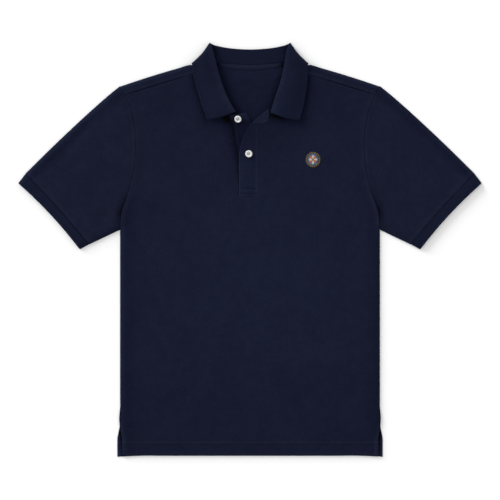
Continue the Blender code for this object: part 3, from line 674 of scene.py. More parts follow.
def hemRelief(x, y):
    # double cloth below the hem line, a sunk twin row on it, and slight puckers; returns height, and wear
    # with painted shade under the hem line
    look = hemLook
    up = y - shirt["hemY"]
    fromLine = up - look["depth"]
    fold = look["rise"] * easeStep((0.4 - fromLine) / 3.4) * easeStep((up + 0.6) / 3.0)
    pucker = np.sin(x / 9.0 * fullTurn + 1.8 * np.sin(x / 31.0)) * bell(up - 0.7 * look["depth"], 11.0)
    height = fold - 0.1 * bell(fromLine + look["row"], 0.8) + 0.06 * pucker
    uneven = 1.0 + 0.2 * np.sin(x / 23.0) * np.sin(x / 57.0 + 1.0)
    wearAndShading = softLines(fromLine, look["lineTones"]) * uneven + softLines(up, look["edgeTones"]) + 0.02 * pucker
    return height, wearAndShading


frontLook = {
    "coarse": 52, "middle": 8, "lowerRows": 112, "upperRows": 48,
    "slashRight": [(-22, 110), (-23, 145), (-25, 180), (-27.9, 200), (-31.4, 221), (-35, 241),
                   (-40.5, 259.5)],
    "slashLeft": [(11, 110), (11, 242)],
    "neckRight": [(-40.5, 259.5), (-57, 268), (-69, 284), (-78, 304), (-84, 325), (-87.3, 345)],
    "neckLeft": [(11, 242), (20, 250), (31, 257.5), (42, 259.8), (52, 261), (62, 268), (73, 284),
                 (80.5, 304), (85, 325), (87.3, 345)],
}
slashCurve = smoothLine(frontLook["slashRight"], 60)
forwardY = shirt["seamTop"] - 0.1
neckX = frontLook["neckLeft"][-1][0]
# the forward shoulder seam, from the armhole to the neck
forwardLine = np.array([(armholeX(forwardY), forwardY),
                        (neckX, shoulderY(neckX) - shirt["forwardSeam"] - shirt["gap"])])

# the collar's stations: how far the strip has turned over, 0 on the front and 180 behind the neck,
# then the plan points of its three lines
collarRight = [
    # turn, roll x, y, edge x, y, seam x, y
    (0, -29, 265.6, -82.3, 250.8, -44.5, 262.4),
    (0, -39.2, 282.6, -91.8, 277, -58, 270.6),
    (0, -47.5, 300, -99, 300, -69.5, 286.4),
    (0, -54.6, 318, -104.6, 320.5, -78, 306.2),
    (0, -60.6, 337, -108.8, 338, -83.8, 327),
    (0, -66, 358, -110.6, 350, -86.6, 347),
    (15, -70.8, 378, -110.7, 354.8, -86.8, 357.5),
    (45, -73, 389.6, -110.2, 355.8, -86, 361.8),
    (90, -73.8, 393.4, -109.6, 356.6, -85, 363.6),
    (135, -73, 393.8, -109, 356.6, -83, 363.8),
    (180, -66, 392.6, -100, 352.4, -75, 363),
    (180, -46, 388.4, -68, 344.6, -50, 359.4),
    (180, -24, 386, -34, 340.8, -25, 357.2),
    (180, 0, 385, 0, 339.4, 0, 356.4),
]
collarLeft = [
    (0, 41, 263.4, 95, 249.6, 52.5, 260.6),
    (0, 48.4, 288, 103, 277, 63.5, 273.4),
    (0, 54.2, 305, 107, 300, 73.6, 289.4),
    (0, 59.4, 321, 109.6, 320, 80, 307),
    (0, 63.8, 338, 110.8, 337, 84.6, 327),
    (0, 68, 358, 110.8, 350, 86.6, 347),
]
backSeam = np.array(collarRight, float)[8:, 5:7]

leafShadeLook = {
    # painted shadow beside each leaf's edge: strength, place and half width
    "beside": [(0.46, 0.0, 8.0), (0.20, 0.0, 22.0)],
    # painted shadow below the leaf's end: strength on each side, half width, how far along it stays full,
    # and its fade
    "below": {-1: 0.55, 1: 0.85}, "belowWidth": 10.5, "full": 12.0, "fade": 19.0,
    "wide": (0.28, 18.0), "start": 3.0,
}


def leafShade(x, y):
    # painted shadow that the collar's leaves cast on the front: all along their edges, most below their ends
    look = leafShadeLook
    shade = np.zeros(np.shape(x))
    for stations, side in ((collarRight, -1), (collarLeft, 1)):
        line = np.array(stations, float)[:6]
        edge = line[:, 3:5]
        end = np.array([line[0, 1:3], line[0, 3:5]])
        gap = lineGap(x, y, edge)[0]
        outside = side * (x - np.interp(y, edge[:, 1], edge[:, 0]))
        beside = softLines(gap, look["beside"]) * easeStep(outside / look["start"] + 1.0)
        gap, along = lineGap(x, y, end)
        under = np.interp(side * x, side * end[:, 0], end[:, 1]) - y
        inner = bell(np.maximum(along - look["full"], 0.0), look["fade"])
        strength, width = look["wide"]
        below = look["below"][side] * inner * bell(gap, look["belowWidth"]) + strength * bell(gap, width)
        shade += np.maximum(beside, below * easeStep(under / look["start"] + 1.0))
    return shade


bodyTones = {
    "spots": [
        # strength, middle x, half width, middle y, half height
        (0.13, 0, 170, -60, 190),  # paler in the middle
        (-0.05, 3, 85, 235, 70),  # painted shade round the neck
        (-0.20, -4, 52, 226, 42),  # and painted shade at the slit
        (-0.144, -150, 40, 290, 40),  # deeper on both shoulders
        (-0.09, 150, 40, 290, 40),
    ],
    # strength, the place where it begins, and over how far it grows
    "low": (-0.095, -170.0, 110.0),
    "rightSide": (-0.09, -195.0, 50.0),
}


def broadTone(x, y):
    # the body's wide, soft differences: round spots, and two deeper parts towards the hem and the right side
    tone = softSpots(x, y, bodyTones["spots"])
    for place, (strength, start, over) in ((y, bodyTones["low"]), (x, bodyTones["rightSide"])):
        tone = tone + strength * easeStep((start - place) / over)
    return tone


armholeTones = {
    "light": (0.10, 0.05), "end": 8.4,
    # strength, place beside the seam and half width: a pale line on the left side
    "leftLine": [(0.14, 3.4, 2.6)],
    # strength, place beside the seam and half width, y and half height: painted shade in the hollow beside
    # the underarm
    "hollow": [(-0.22, 13.0, 8.0, 68.0, 34.0)],
}


def frontArmhole(x, y):
    # the armhole seam on the front: pale allowance, more of it low down, and painted shade beside the
    # underarm
    look = armholeTones
    gap, along = lineGap(np.abs(x), y, armholeCurve)
    least, more = look["light"]
    light = least + more * easeStep((175.0 - y) / 80.0)
    height, wearAndShading = seamRelief(gap, along, light=light, end=look["end"], **seamLook["armhole"])
    wearAndShading = wearAndShading + softLines(gap, look["leftLine"]) * (x > 0) + softSpots(gap, y, look["hollow"])
    onArm = y > shirt["underarmY"] - 4.0
    return height * onArm, wearAndShading * onArm


def frontShoulder(x, y):
    # the forward shoulder seam on the front
    side = np.abs(x)
    height, wearAndShading = seamRelief(*lineGap(side, y, forwardLine), **seamLook["shoulderFront"])
    onTop = (side > 80.0) & (y > 250.0)
    return height * onTop, wearAndShading * onTop


ventLook = {
    "above": 30.0, "facing": 9.0, "rise": 0.25, "tone": (0.26, 0.12),
    "narrow": {"left": 0.8, "right": 1.0}, "pale": {"left": 2.9, "right": 1.1},
    # strength, place and half width in from the side seam: pale on the edge, painted shade where the cloth
    # rounds down
    "sideTones": [(0.16, 0.0, 1.6), (-0.09, 16.12, 13.0)],
}


def frontSide(x, y):
    # pale on the side seam's edge, painted shade inside it where the cloth rounds down; at the vent a pale
    # double facing that narrows upwards
    look = ventLook
    isLeft = x > 0
    narrow, pale = (np.where(isLeft, look[key]["left"], look[key]["right"]) for key in ("narrow", "pale"))
    onSide = y < shirt["underarmY"]
    edge = frontSideX(x, np.minimum(y, shirt["underarmY"])) - np.abs(x)
    rim = softLines(np.maximum(edge, 0.0), look["sideTones"])
    top = shirt["ventTopY"] + look["above"]
    down = (top - y) / (top - shirt["hemY"])
    width = look["facing"] * (0.45 + 0.85 * np.clip(down, 0.0, 1.0)) * narrow
    band = easeStep(down / 0.5) * easeStep((width - edge) / 3.0) * easeStep((edge + 0.2) / 3.0) * onSide
    whole, fold = look["tone"]
    tone = (whole - fold * bell(edge - 0.5 * width, 1.4)) * pale
    return look["rise"] * band * easeStep(edge / 1.5), rim * onSide + band * tone


slashLook = {
    "roll": (0.9, 4.4),  # how deep the front rolls down, and half width
    "shade": 0.40, "shadeWidth": (4.0, 5.0), "wideShade": (0.12, 14.0),
    # strength, x and half width, y and half height: painted black shadow between the right leaf's end and
    # the under placket
    "spot": [(-0.5, -43.0, 9.0, 252.0, 9.0)],
    # the seat: depth, left and right end, foot and top
    "seat": 1.0, "seatX": (-24.6, 16.2), "seatY": (102.4, 262.0),
    "seatLine": (0.10, 16.0, 3.0),
}


def frontSlash(x, y):
    # the front rolls down into the slash on the right, with painted shade along it, and carries the top
    # placket in a shallow seat
    look = slashLook
    gap = lineGap(x, y, slashCurve)[0]
    fromFoot = y - shirt["slashY"]
    start = easeStep((fromFoot - 2.0) / 40.0)
    least, more = look["shadeWidth"]
    shaded = bell(gap, least + more * np.clip((fromFoot - 40.0) / 70.0, 0.0, 1.0)) * start
    strength, width = look["wideShade"]
    wearAndShading = -look["shade"] * shaded - strength * bell(gap, width) * easeStep((fromFoot - 30.0) / 60.0)
    wearAndShading = wearAndShading + softSpots(x, y, look["spot"])
    low, high = look["seatX"]
    foot, top = look["seatY"]
    seat = easeStep((high - x) / 1.6) * easeStep((x - low) / 3.0) * easeStep((y - foot) / 1.6)
    seat = seat * ((y < top) & (x > low) & ((x >= 0.0) | (fromFoot <= 1.0)))
    seatEnds = easeStep((y - 100.0) / 4.0) * easeStep((232.0 - y) / 20.0)
    wearAndShading = wearAndShading + softLines(x, [look["seatLine"]]) * seatEnds
    depth, width = look["roll"]
    return -depth * bell(gap, width) * start - look["seat"] * seat, wearAndShading


def frontRelief(x, y):
    # height, and wear with painted shade, that seams, hem, vents and slash add to the front's own surface,
    # with the painted shadow of the collar's leaves
    height, wearAndShading = hemRelief(x, y)
    wearAndShading = wearAndShading + broadTone(x, y) - leafShade(x, y)
    for part in (frontArmhole, frontShoulder, frontSide, frontSlash):
        rise, tone = part(x, y)
        height = height + rise
        wearAndShading = wearAndShading + tone
    return height, wearAndShading


def frontTop(x, y):
    # upper face of the front's cloth
    return upperFace(x, y) + frontRelief(x, y)[0] + shirt["wall"]


def hemDroop(x, y):
    # the bottom corners hang a little lower: by the eighth power of the share from the middle
    low = easeStep((shirt["ventTopY"] - y) / 60.0)
    return shirt["hemDrop"] * (np.abs(x) / shirt["halfChest"]) ** 8 * low


def lowerRows(start, count):
    # row heights from the bottom edge to the slash: the hem's own, then even ones
    above = np.linspace(start, shirt["slashY"], count)
    return np.concatenate([shirt["hemY"] + np.array(hemLook["rows"]), above])


def frontPanel():
    # one grid: rows run from side to side up to chest level, then on each side of the slash up to the seams
    look = frontLook
    lower = lowerRows(-362.0, look["lowerRows"])
    rise = np.concatenate([np.linspace(0.0, 0.94, look["upperRows"])[1:],
                           1.0 - fineSteps[::-1][:-1] * 0.0052, [1.0]])
    rise = np.unique(np.round(rise, 5))
    outerY = mixed(shirt["slashY"], forwardLine[0, 1], rise)
    blocks = []
    for side, slash, neckline in ((-1, look["slashRight"], look["neckRight"]),
                                  (1, look["slashLeft"], look["neckLeft"])):
        outer = np.concatenate([
            np.column_stack([side * frontSideX(side, lower), lower]),
            np.column_stack([side * armholeX(outerY), outerY]),
        ])
        cut, neck = (evenLine(smoothLine(line, 60), 60) for line in (slash, neckline))
        path = np.concatenate([cut[:-1], neck])
        shares = np.concatenate([np.linspace(0.0, 0.62, 60)[:-1], np.linspace(0.62, 1.0, 60)])
        inner = np.concatenate([
            np.column_stack([np.full(len(lower), slash[0][0]), lower]),
            np.stack([np.interp(rise, shares, axis) for axis in path.T], axis=-1),
        ])
        length = np.linalg.norm(inner - outer, axis=1)
        steps = gradedColumns(length, fineSteps, look["coarse"], np.array([0.0, 0.8, 2.0, 4.0]))
        spots = outer[:, None] + (inner - outer)[:, None] * (steps / length[:, None])[..., None]
        blocks.append(spots if side < 0 else spots[:, ::-1])
    shares = np.linspace(0, 1, look["middle"] + 2)[1:-1][None, :, None]
    between = mixed(blocks[0][:, -1:], blocks[1][:, :1], shares)
    plan = np.concatenate([blocks[0], between, blocks[1]], axis=1)
    x = plan[..., 0]
    y = plan[..., 1] - hemDroop(x, plan[..., 1])
    height, wearAndShading = frontRelief(x, y)
    # no cells above the foot of the slash between its two edges
    keep = np.ones((len(x) - 1, x.shape[1] - 1), bool)
    first = blocks[0].shape[1] - 1
    keep[len(lower) - 1:, first:first + look["middle"] + 1] = False
    points = np.stack([x, y, upperFace(x, y) + height], axis=-1)
    return clothObject("frontCloth", points, points[..., :2], wearAndShading, shirt["wall"], 1, piqueCloth, keep=keep)


backLook = {
    "shoulderColumns": 36, "neckColumns": 20, "lowerRows": 74, "upperRows": 40, "stripRows": 14,
    "neckShade": (0.52, 10.0), "lowShade": (0.06, 0.14), "foldTone": 0.1093,
    # the vent's strip: how black its painted shadow is at the top and low down, and how wide
    "strip": (1.4, 0.65), "stripWidth": (5.8, 2.8),
}


def backSeamY(x):
    # the neck seam across the back, above which the stand begins
    return np.interp(-np.abs(x), backSeam[:, 0], backSeam[:, 1])


def ventStrip(x, y):
    # tones at the vents: a pale rim, and painted shadow on the strip that shows beside the front's edge,
    # black at its top
    down = np.clip((shirt["ventTopY"] - y) / (shirt["ventTopY"] - shirt["hemY"]), 0.0, 1.0)
    fromEdge = np.maximum(sideX(y, shirt["backFlare"]) - np.abs(x), 0.0)
    rim = (0.2 + 0.9 * easeStep((down - 0.2) / 0.3)) * bell(fromEdge, 1.4 + 1.6 * down)
    outside = np.abs(x) - frontSideX(x, y)
    width, narrowing = backLook["stripWidth"]
    strip = easeStep((width - narrowing * down - outside) / 1.6) * easeStep((outside + 5.0) / 2.0)
    strip = strip * easeStep(down / 0.1) * (y < shirt["ventTopY"])
    black, less = backLook["strip"]
    return rim * (y < shirt["underarmY"]) - (black - less * easeStep((down - 0.36) / 0.3)) * strip


def backShade(x, y):
    # painted shade beside the collar's rolls, and a little under the plackets
    rolls = [np.array(stations, float)[:, 1:3] for stations in (collarRight[:9], collarLeft)]
    gap = np.minimum(*(lineGap(x, y, roll)[0] for roll in rolls))
    strength, width = backLook["neckShade"]
    whole, low = backLook["lowShade"]
    low = low * bell(np.maximum(y - 262.0, 0.0), 45.0)
    return -easeStep((y - 236.0) / 8.0) * (strength * bell(gap, width) + whole + low)


def backPanel():
    # flat from hem to neck, over each shoulder on a half round, then down to the forward seam
    look = backLook
    half = np.concatenate([
        np.linspace(shirt["tip"][0], shirt["neckSide"], look["shoulderColumns"]),
        np.linspace(shirt["neckSide"], 0.0, look["neckColumns"])[1:],
    ])
    topX = np.concatenate([-half, half[::-1][1:]])
    onShoulder = np.abs(topX) > shirt["neckSide"] - 0.5
    crest = shoulderFoldY(topX)
    slope = np.arctan(shirt["slope"])
    radius = 0.5 * (upperFace(topX, crest) + shirt["wall"] - lowerFace(topX, crest))
    foldY = crest - radius / np.cos(slope)
    topY = np.where(onShoulder, foldY, np.minimum(backSeamY(topX) - shirt["gap"], foldY))
    lower = lowerRows(-360.0, look["lowerRows"])
    spread = np.linspace(-1.0, 1.0, len(topX))
    # even columns below, crowded a little at both sides
    spread = mixed(spread, np.sin(0.5 * np.pi * spread), 0.8)
    lowX = spread[None] * sideX(lower, shirt["backFlare"])[:, None]
    rise = np.linspace(0.0, 1.0, look["upperRows"])[1:, None]
    upY = mixed(shirt["slashY"], topY[None], rise)
    upX = mixed(spread[None] * armholeX(shirt["slashY"], shirt["backArmhole"]), topX[None], rise)
    bow = armholeX(upY[:, :1], shirt["backArmhole"]) - np.abs(upX[:, :1])
    x = np.concatenate([lowX, upX + spread[None] * np.abs(spread[None]) * bow])
    y = np.concatenate([np.broadcast_to(lower[:, None], lowX.shape), upY])
    y = y - hemDroop(x, y)
    inside = np.clip(np.minimum(y - shirt["hemY"], shirt["halfChest"] - np.abs(x)) / 9.0, 0.0, 1.0)
    crease = np.maximum(creaseRelief(x, y, backCreases), 0.0) * inside
    hemStep, hemWearAndShading = hemRelief(x, y)
    flat = np.stack([x, y, lowerFace(x, y) + crease + 0.2 * np.minimum(hemStep, 0.0) ** 2], axis=-1)
    out = np.stack([np.sign(topX) * np.sin(slope), np.full(len(topX), np.cos(slope))], axis=-1)
    centre, low = flat[-1, :, :2], flat[-1, :, 2]
    rows, lengths, wearsAndShading = [flat], [y], [hemWearAndShading + ventStrip(x, y)]
    # the half round over each shoulder
    for angle in np.linspace(0.0, np.pi, 9)[1:]:
        spot = centre + out * (radius * np.sin(angle))[:, None]
        rows.append(np.column_stack([spot, low + radius * (1.0 - np.cos(angle))])[None])
        lengths.append((y[-1] + radius * angle)[None])
        wearsAndShading.append(np.full((1, len(topX)), look["foldTone"]))
    # the strip in front of the fold, whose outer columns run in along the armhole to the seam's end
    strips = np.unique(np.concatenate([np.linspace(0, 1, look["stripRows"])[1:], 1 - fineSteps[:8] / 22.0]))
    runIn = (shirt["tip"][0] - forwardLine[0, 0]) * easeStep((np.abs(topX) - 205.0) / 45.0)
    for share in strips[strips > 0.02]:
        stripX = np.sign(topX) * (np.abs(topX) - runIn * share)
        stripY = shoulderY(stripX) - mixed(shoulderY(topX) - centre[:, 1], shirt["forwardSeam"], share)
        fromSeam = np.maximum(stripY - shoulderY(stripX) + shirt["forwardSeam"], 0.0) * np.cos(slope)
        ridge, pale = seamRelief(fromSeam, np.abs(stripX), **seamLook["shoulderBack"])
        z = upperFace(stripX, stripY) + shirt["wall"] + ridge * easeStep(share / 0.2)
        rows.append(np.column_stack([stripX, stripY, z])[None])
        lengths.append((y[-1] + radius * np.pi + centre[:, 1] - stripY)[None])
        # painted shade in a band inside the fold
        wearsAndShading.append((pale - 0.24 * bell(fromSeam - 10.5, 3.5))[None])
    points = np.concatenate(rows)
    u = np.concatenate([x, np.broadcast_to(topX, (len(points) - len(x), len(topX)))])
    flatPlace = np.stack([u, np.concatenate(lengths)], axis=-1)
    wearAndShading = np.concatenate(wearsAndShading)
    wearAndShading[:len(x)] += backShade(x, y)
    keep = np.ones((len(points) - 1, len(topX) - 1), bool)
    keep[len(x) - 1:] = (onShoulder[1:] & onShoulder[:-1])[None]
    return clothObject("backCloth", points, flatPlace, wearAndShading, shirt["wall"], 1, piqueCloth, keep=keep)


sleeveLook = {
    "across": 56, "coarse": 44, "tipGap": 0.2, "light": 0.26, "end": 5.4, "whole": 0.05,
    # depth, place beside the armhole and half width, y and half height; then the painted shade in it
    "hollow": [(1.0, 0.0, 9.5, 77.0, 29.0)], "hollowTone": 0.95,
    # strength, place and half width: pale above the cuff seam and at both folds, painted shade in from the
    # upper fold
    "cuffLine": (0.13, 6.0, 5.0), "foldLine": (0.14, 0.0, 1.6), "crownLine": (-0.34, 11.0, 8.5),
    "shoulderShade": (0.2, 9.0),
}
cuffLook = {
    "across": 70, "rings": 16, "hollow": 2.7, "mouthHollow": 4.5, "inset": 1.4, "wall": 1.0,
    "ribPitch": 2.9, "ribRise": 0.08, "bead": 0.15, "groove": 0.3,
    # strength, place and half width from the mouth's edge, and from the seam, where it is painted shade
    "mouthTones": [(0.22, 1.8, 1.1), (-0.10, 4.4, 1.0)], "seamTones": [(-0.6, 0.0, 1.5)],
}


def acrossShares(count):
    # shares from the upper fold to the lower one, close together near both
    even = np.linspace(0.0, 1.0, count)
    return mixed(even, 0.5 - 0.5 * np.cos(np.pi * even), 0.6)


def bowedLine(ends, shares, shift=0.0, hollow=cuffLook["hollow"]):
    # a line across the sleeve that curves in towards the body by 4t(1 - t), moved out by shift
    line = mixed(np.array(ends[0]), np.array(ends[1]), shares[:, None])
    inward = np.array([-0.744, 0.669])
    return line + inward * (4.0 * shares * (1.0 - shares) * hollow - shift)[:, None]


def flatTube(topLines, lowLines, steps, bulging, wall, inset, relief):
    # a flattened tube: for each step, upper layer, fold, lower layer, fold; returns points, uv, and wear
    # with painted shade
    across = np.linspace(0.0, 1.0, topLines[0].shape[0])
    arcs = np.linspace(0.0, np.pi, 9)[1:-1]
    loops, wearsAndShading = [], []
    for step in steps.T:
        top, low = (mixed(first, last, step[:, None]) for first, last in (topLines, lowLines))
        outward = (bulging * crownBulge(step) * (1.0 - across))[:, None] * np.array(shirt["sleeveOut"])
        top, low = top + outward, low + outward
        run = top[-1] - top[0]
        length = np.linalg.norm(run)
        margin = (0.5 * (upperFace(*top[0]) + wall) + inset) / length
        inside = margin + (1.0 - 2.0 * margin) * across
        top, low = (np.column_stack([np.interp(inside, across, axis) for axis in layer.T])
                    for layer in (top, low))
        low = low[::-1]
        rise, wearAndShading = relief(*top.T, across * length)
        topZ = upperFace(*top.T) + wall + rise
        loop, marks = [np.column_stack([top, topZ])], [wearAndShading]
        for start, end, sign, last in ((top[-1], low[0], 1.0, -1), (low[-1], top[0], -1.0, 0)):
            # a half round of the height that the upper layer has there
            radius = 0.5 * topZ[last]
            out = sign * run / length * (radius * np.sin(arcs))[:, None]
            spot = mixed(start, end, (arcs / np.pi)[:, None]) + out
            loop.append(np.column_stack([spot, radius * (1.0 + sign * np.cos(arcs))]))
            marks.append(np.full(len(arcs), wearAndShading[last]))
            if sign > 0:
                loop.append(np.column_stack([low, np.zeros(len(low))]))
                marks.append(np.zeros(len(low)))
        loops.append(np.concatenate(loop))
        wearsAndShading.append(np.concatenate(marks))
    points = np.array(loops)
    return points, np.stack([lengthAlong(points, 1), lengthAlong(points)], axis=-1), np.array(wearsAndShading)


def cuffSeamGap(x, y):
    # distance from the seam between sleeve and cuff, and the length along it
    return lineGap(x, y, bowedLine(shirt["cuffSeam"], np.linspace(0.0, 1.0, 40)))


def sleeveRelief(x, y, across):
    # seams at the armhole and above the cuff, a deep hollow under the arm with painted shade in it, and the
    # folds' tones, with painted shade in from the upper fold and beside the armhole by the shoulder
    look = sleeveLook
    gap, along = lineGap(x, y, armholeCurve)
    light = look["light"] * easeStep((y - 120.0) / 70.0)
    height, wearAndShading = seamRelief(gap, along, light=light, end=look["end"], **seamLook["armhole"])
    hollow = softSpots(gap, y, look["hollow"])
    cuffGap, cuffAlong = cuffSeamGap(x, y)
    cuffHeight, cuffWearAndShading = seamRelief(cuffGap, cuffAlong, **seamLook["cuff"])
    side, crown = (lineGap(x, y, edge)[0] for edge in outerEdges)
    for away, line in ((cuffGap, "cuffLine"), (np.minimum(crown, side), "foldLine"), (crown, "crownLine")):
        wearAndShading = wearAndShading + softLines(away, [look[line]])
    strength, width = look["shoulderShade"]
    wearAndShading = wearAndShading - strength * bell(gap, width) * easeStep((y - 200.0) / 60.0)
    return height - hollow + cuffHeight, wearAndShading - look["hollowTone"] * hollow + cuffWearAndShading + look["whole"]


def cuffRelief(x, y, across):
    # fine ribs, sunk and darkened with painted shade at the seam, a pale bead on the mouth's edge
    look = cuffLook
    gap = cuffSeamGap(x, y)[0]
    line = bowedLine(shirt["mouth"], np.linspace(0.0, 1.0, 40), hollow=look["mouthHollow"])
    mouth = lineGap(x, y, line)[0]
    ribs = look["ribRise"] * np.sin(across / look["ribPitch"] * np.pi) * easeStep(gap / 4.0)
    height = ribs + look["bead"] * bell(mouth - 1.8, 1.1) - look["groove"] * bell(gap, 1.2)
    return height, softLines(mouth, look["mouthTones"]) + softLines(gap, look["seamTones"])


def sleeveCloth(name, side):
    # a tube between the armhole and the cuff seam, whose columns are fine at both
    shares = acrossShares(sleeveLook["across"])
    heights = mixed(shirt["tip"][1], shirt["underarmY"], shares)
    gap = shirt["gap"] + sleeveLook["tipGap"] * easeStep((heights - shirt["seamTop"]) / 15.0)
    top, low = (np.column_stack([armholeX(heights, depth) + gap, heights])
                for depth in (1.0, shirt["backArmhole"]))
    end = bowedLine(shirt["cuffSeam"], shares)
    length = np.linalg.norm(end - top, axis=1)
    steps = gradedColumns(length, fineSteps, sleeveLook["coarse"], fineSteps) / length[:, None]
    points, flat, wearAndShading = flatTube((top, end), (low, end), steps, 1.0, shirt["wall"], 0.0, sleeveRelief)
    points[..., 0] *= side
    return clothObject(name, points, flat, wearAndShading, shirt["wall"], -side, piqueCloth, wrap=True)


def cuffCloth(name, side):
    # a short tube between the cuff seam and the mouth, in a little from the sleeve's folds
    look = cuffLook
    shares = acrossShares(look["across"])
    lines = (bowedLine(shirt["cuffSeam"], shares, shirt["gap"]),
             bowedLine(shirt["mouth"], shares, hollow=look["mouthHollow"]))
    steps = np.broadcast_to(np.linspace(0.0, 1.0, look["rings"]), (len(shares), look["rings"]))
    points, flat, wearAndShading = flatTube(lines, lines, steps, 0.0, look["wall"], look["inset"], cuffRelief)
    points[..., 0] *= side
    return clothObject(name, points, flat, wearAndShading, look["wall"], -side, ribCloth, wrap=True)


collarLook = {
    "each": 8, "stand": 10, "roll": 9, "leaf": 26,
    "puff": 1.3, "waver": 0.35, "edge": 0.25, "endLift": 2.4, "endBow": 3.4,
    "sideHollow": 3.3, "sideEdge": 0.7,
    # strength, place and half width inside the leaf's finished edge
    "edgeTones": [(0.20, 0.0, 1.6), (-0.12, 4.2, 1.3)],
    # painted light and shade on the leaf's curve: strength, place along the leaf in stations and half width,
    # place out from the roll and half width
    "leafTones": [(0.16, 1.6, 1.6, 15.0, 15.0), (-0.12, 5.6, 1.6, 0.0, 16.0)],
    "endTone": 0.16, "rollTone": 0.36, "outerTone": 0.08, "wholeTone": -0.07, "standTones": (0.10, 0.50),
}


def collarTone(points, plan, roll, toEdge, toEnd, station, onLeaf, front, isRight):
    # pale on the finished edges; a painted highlight beside the roll, painted shade up by the shoulder and
    # away from the roll on one leaf; painted shade on the stand beside it
    look = collarLook
    toRoll = np.linalg.norm(plan - roll, axis=-1)
    wearAndShading = softLines(toEdge, look["edgeTones"]) + look["endTone"] * bell(toEnd, 1.8)
    besideRoll = bell(np.maximum(toRoll - 3.0, 0.0), np.where(isRight, 6.0, 3.0)) * front
    outer = easeStep((toRoll - 10.0) / 14.0) * front * ~isRight
    leaf = softSpots(station, toRoll, look["leafTones"]) + look["rollTone"] * besideRoll
    wearAndShading = wearAndShading + (leaf - look["outerTone"] * outer + look["wholeTone"]) * onLeaf
    whole, beside = look["standTones"]
    stand = whole + beside * easeStep((np.abs(plan[..., 0]) - 56.0) / 14.0)
    return wearAndShading - (onLeaf < 0.5) * (1.0 - front) * stand


def collarCloth():
    # a folded strip along the stations: stand from seam to roll, half-round roll, then leaf out to its edge
    look = collarLook
    right = np.array(collarRight, float)
    mirrored = right[len(collarLeft):-1][::-1] * np.array([1, -1, 1, -1, 1, -1, 1])
    stations = np.concatenate([right, mirrored, np.array(collarLeft, float)[::-1]])
    line = smoothLine(stations, look["each"] * (len(stations) - 1) + 1)
    turn = np.radians(np.clip(line[:, 0], 0.0, 180.0))[:, None]
    roll, edge, seam = (line[:, None, first:first + 2] for first in (1, 3, 5))
    away = edge - roll
    away = away / np.linalg.norm(away, axis=-1, keepdims=True)
    outward = np.stack([-away[..., 1], away[..., 0]], axis=-1)
    outward = np.where(outward[..., 1:] < 0, -outward, outward)
    lowLeaf = 0.5 * shirt["ribWall"]
    lowStand = tuckLook["lift"] + 0.1 + lowLeaf
    gap = lowStand - lowLeaf
    standShare = np.linspace(0.0, 0.95, look["stand"])[None, :, None]
    angle = np.linspace(0.0, np.pi, look["roll"])[None, :]
    leafShare = np.linspace(0.0, 1.0, look["leaf"] + 1)[1:] ** 0.92
    # where the strip turns over at each side of the neck, the leaf curves in
    hollow = np.sin(np.pi * leafShare) + look["sideEdge"] * leafShare ** 3
    hollow = look["sideHollow"] * np.sin(turn) * hollow
    plan = np.concatenate([
        mixed(seam, roll, standShare),
        roll - away * (0.5 * gap * np.sin(angle))[..., None],
        mixed(roll, edge, leafShare[None, :, None]) - outward * hollow[..., None],
    ], axis=1)
    onRoll = 0.5 - 0.5 * np.cos(angle[0])
    onLeaf = np.concatenate([np.zeros(look["stand"]), onRoll, np.ones(look["leaf"])])[None]
    share = np.concatenate([np.zeros(look["stand"] + look["roll"]), leafShare])[None]
    front = np.maximum(np.cos(turn), 0.0) ** 2
    along = np.linspace(0.0, 1.0, len(line))[:, None]
    waver = 0.6 * np.sin(along * 23.0 + 1.0) + 0.4 * np.sin(along * 51.0)
    puff = look["puff"] * np.sin(np.pi * np.minimum(1.0, share * 1.15)) * front
    puff = puff * (1.0 + look["waver"] * waver)
    puff = puff + look["waver"] * share * (1.0 + waver) * front
    # both ends of the leaf stand up off the cloth, and bow out a little
    number = np.arange(len(line))
    station = np.minimum(number, number[::-1])[:, None] / look["each"]
    puff = puff + look["endLift"] * bell(station, 0.9) * easeStep(share / 0.25) * (0.7 + 0.3 * share)
    frontZ = upperFace(plan[..., 0], plan[..., 1]) + lowLeaf + onLeaf * gap + puff
    backZ = mixed(lowStand, lowLeaf, onLeaf)
    middle, radius = 0.5 * (frontZ + backZ), 0.5 * (frontZ - backZ)
    bow = look["endBow"] * bell(station, 0.5) * np.sin(np.pi * share) * front
    plan = plan + outward * (radius * np.sin(turn))[..., None] - np.array([0.0, 1.0]) * bow[..., None]
    points = np.concatenate([plan, (middle + radius * np.cos(turn))[..., None]], axis=-1)
    run = lengthAlong(points, 1)
    u = np.broadcast_to(lengthAlong(line[:, 5:7])[:, None], run.shape)
    toEdge = np.where(onLeaf > 0.99, run[:, -1:] - run, 90.0)
    toEnd = np.minimum(u, u[-1] - u)
    points[..., 2] += look["edge"] * bell(toEdge - 1.6, 1.3) * front
    wearAndShading = collarTone(points, plan, roll, toEdge, toEnd, station, onLeaf, front, line[:, 1:2] < 0.0)
    return clothObject("collarRib", points, np.stack([u, run], axis=-1), wearAndShading, shirt["ribWall"], 0, ribCloth)


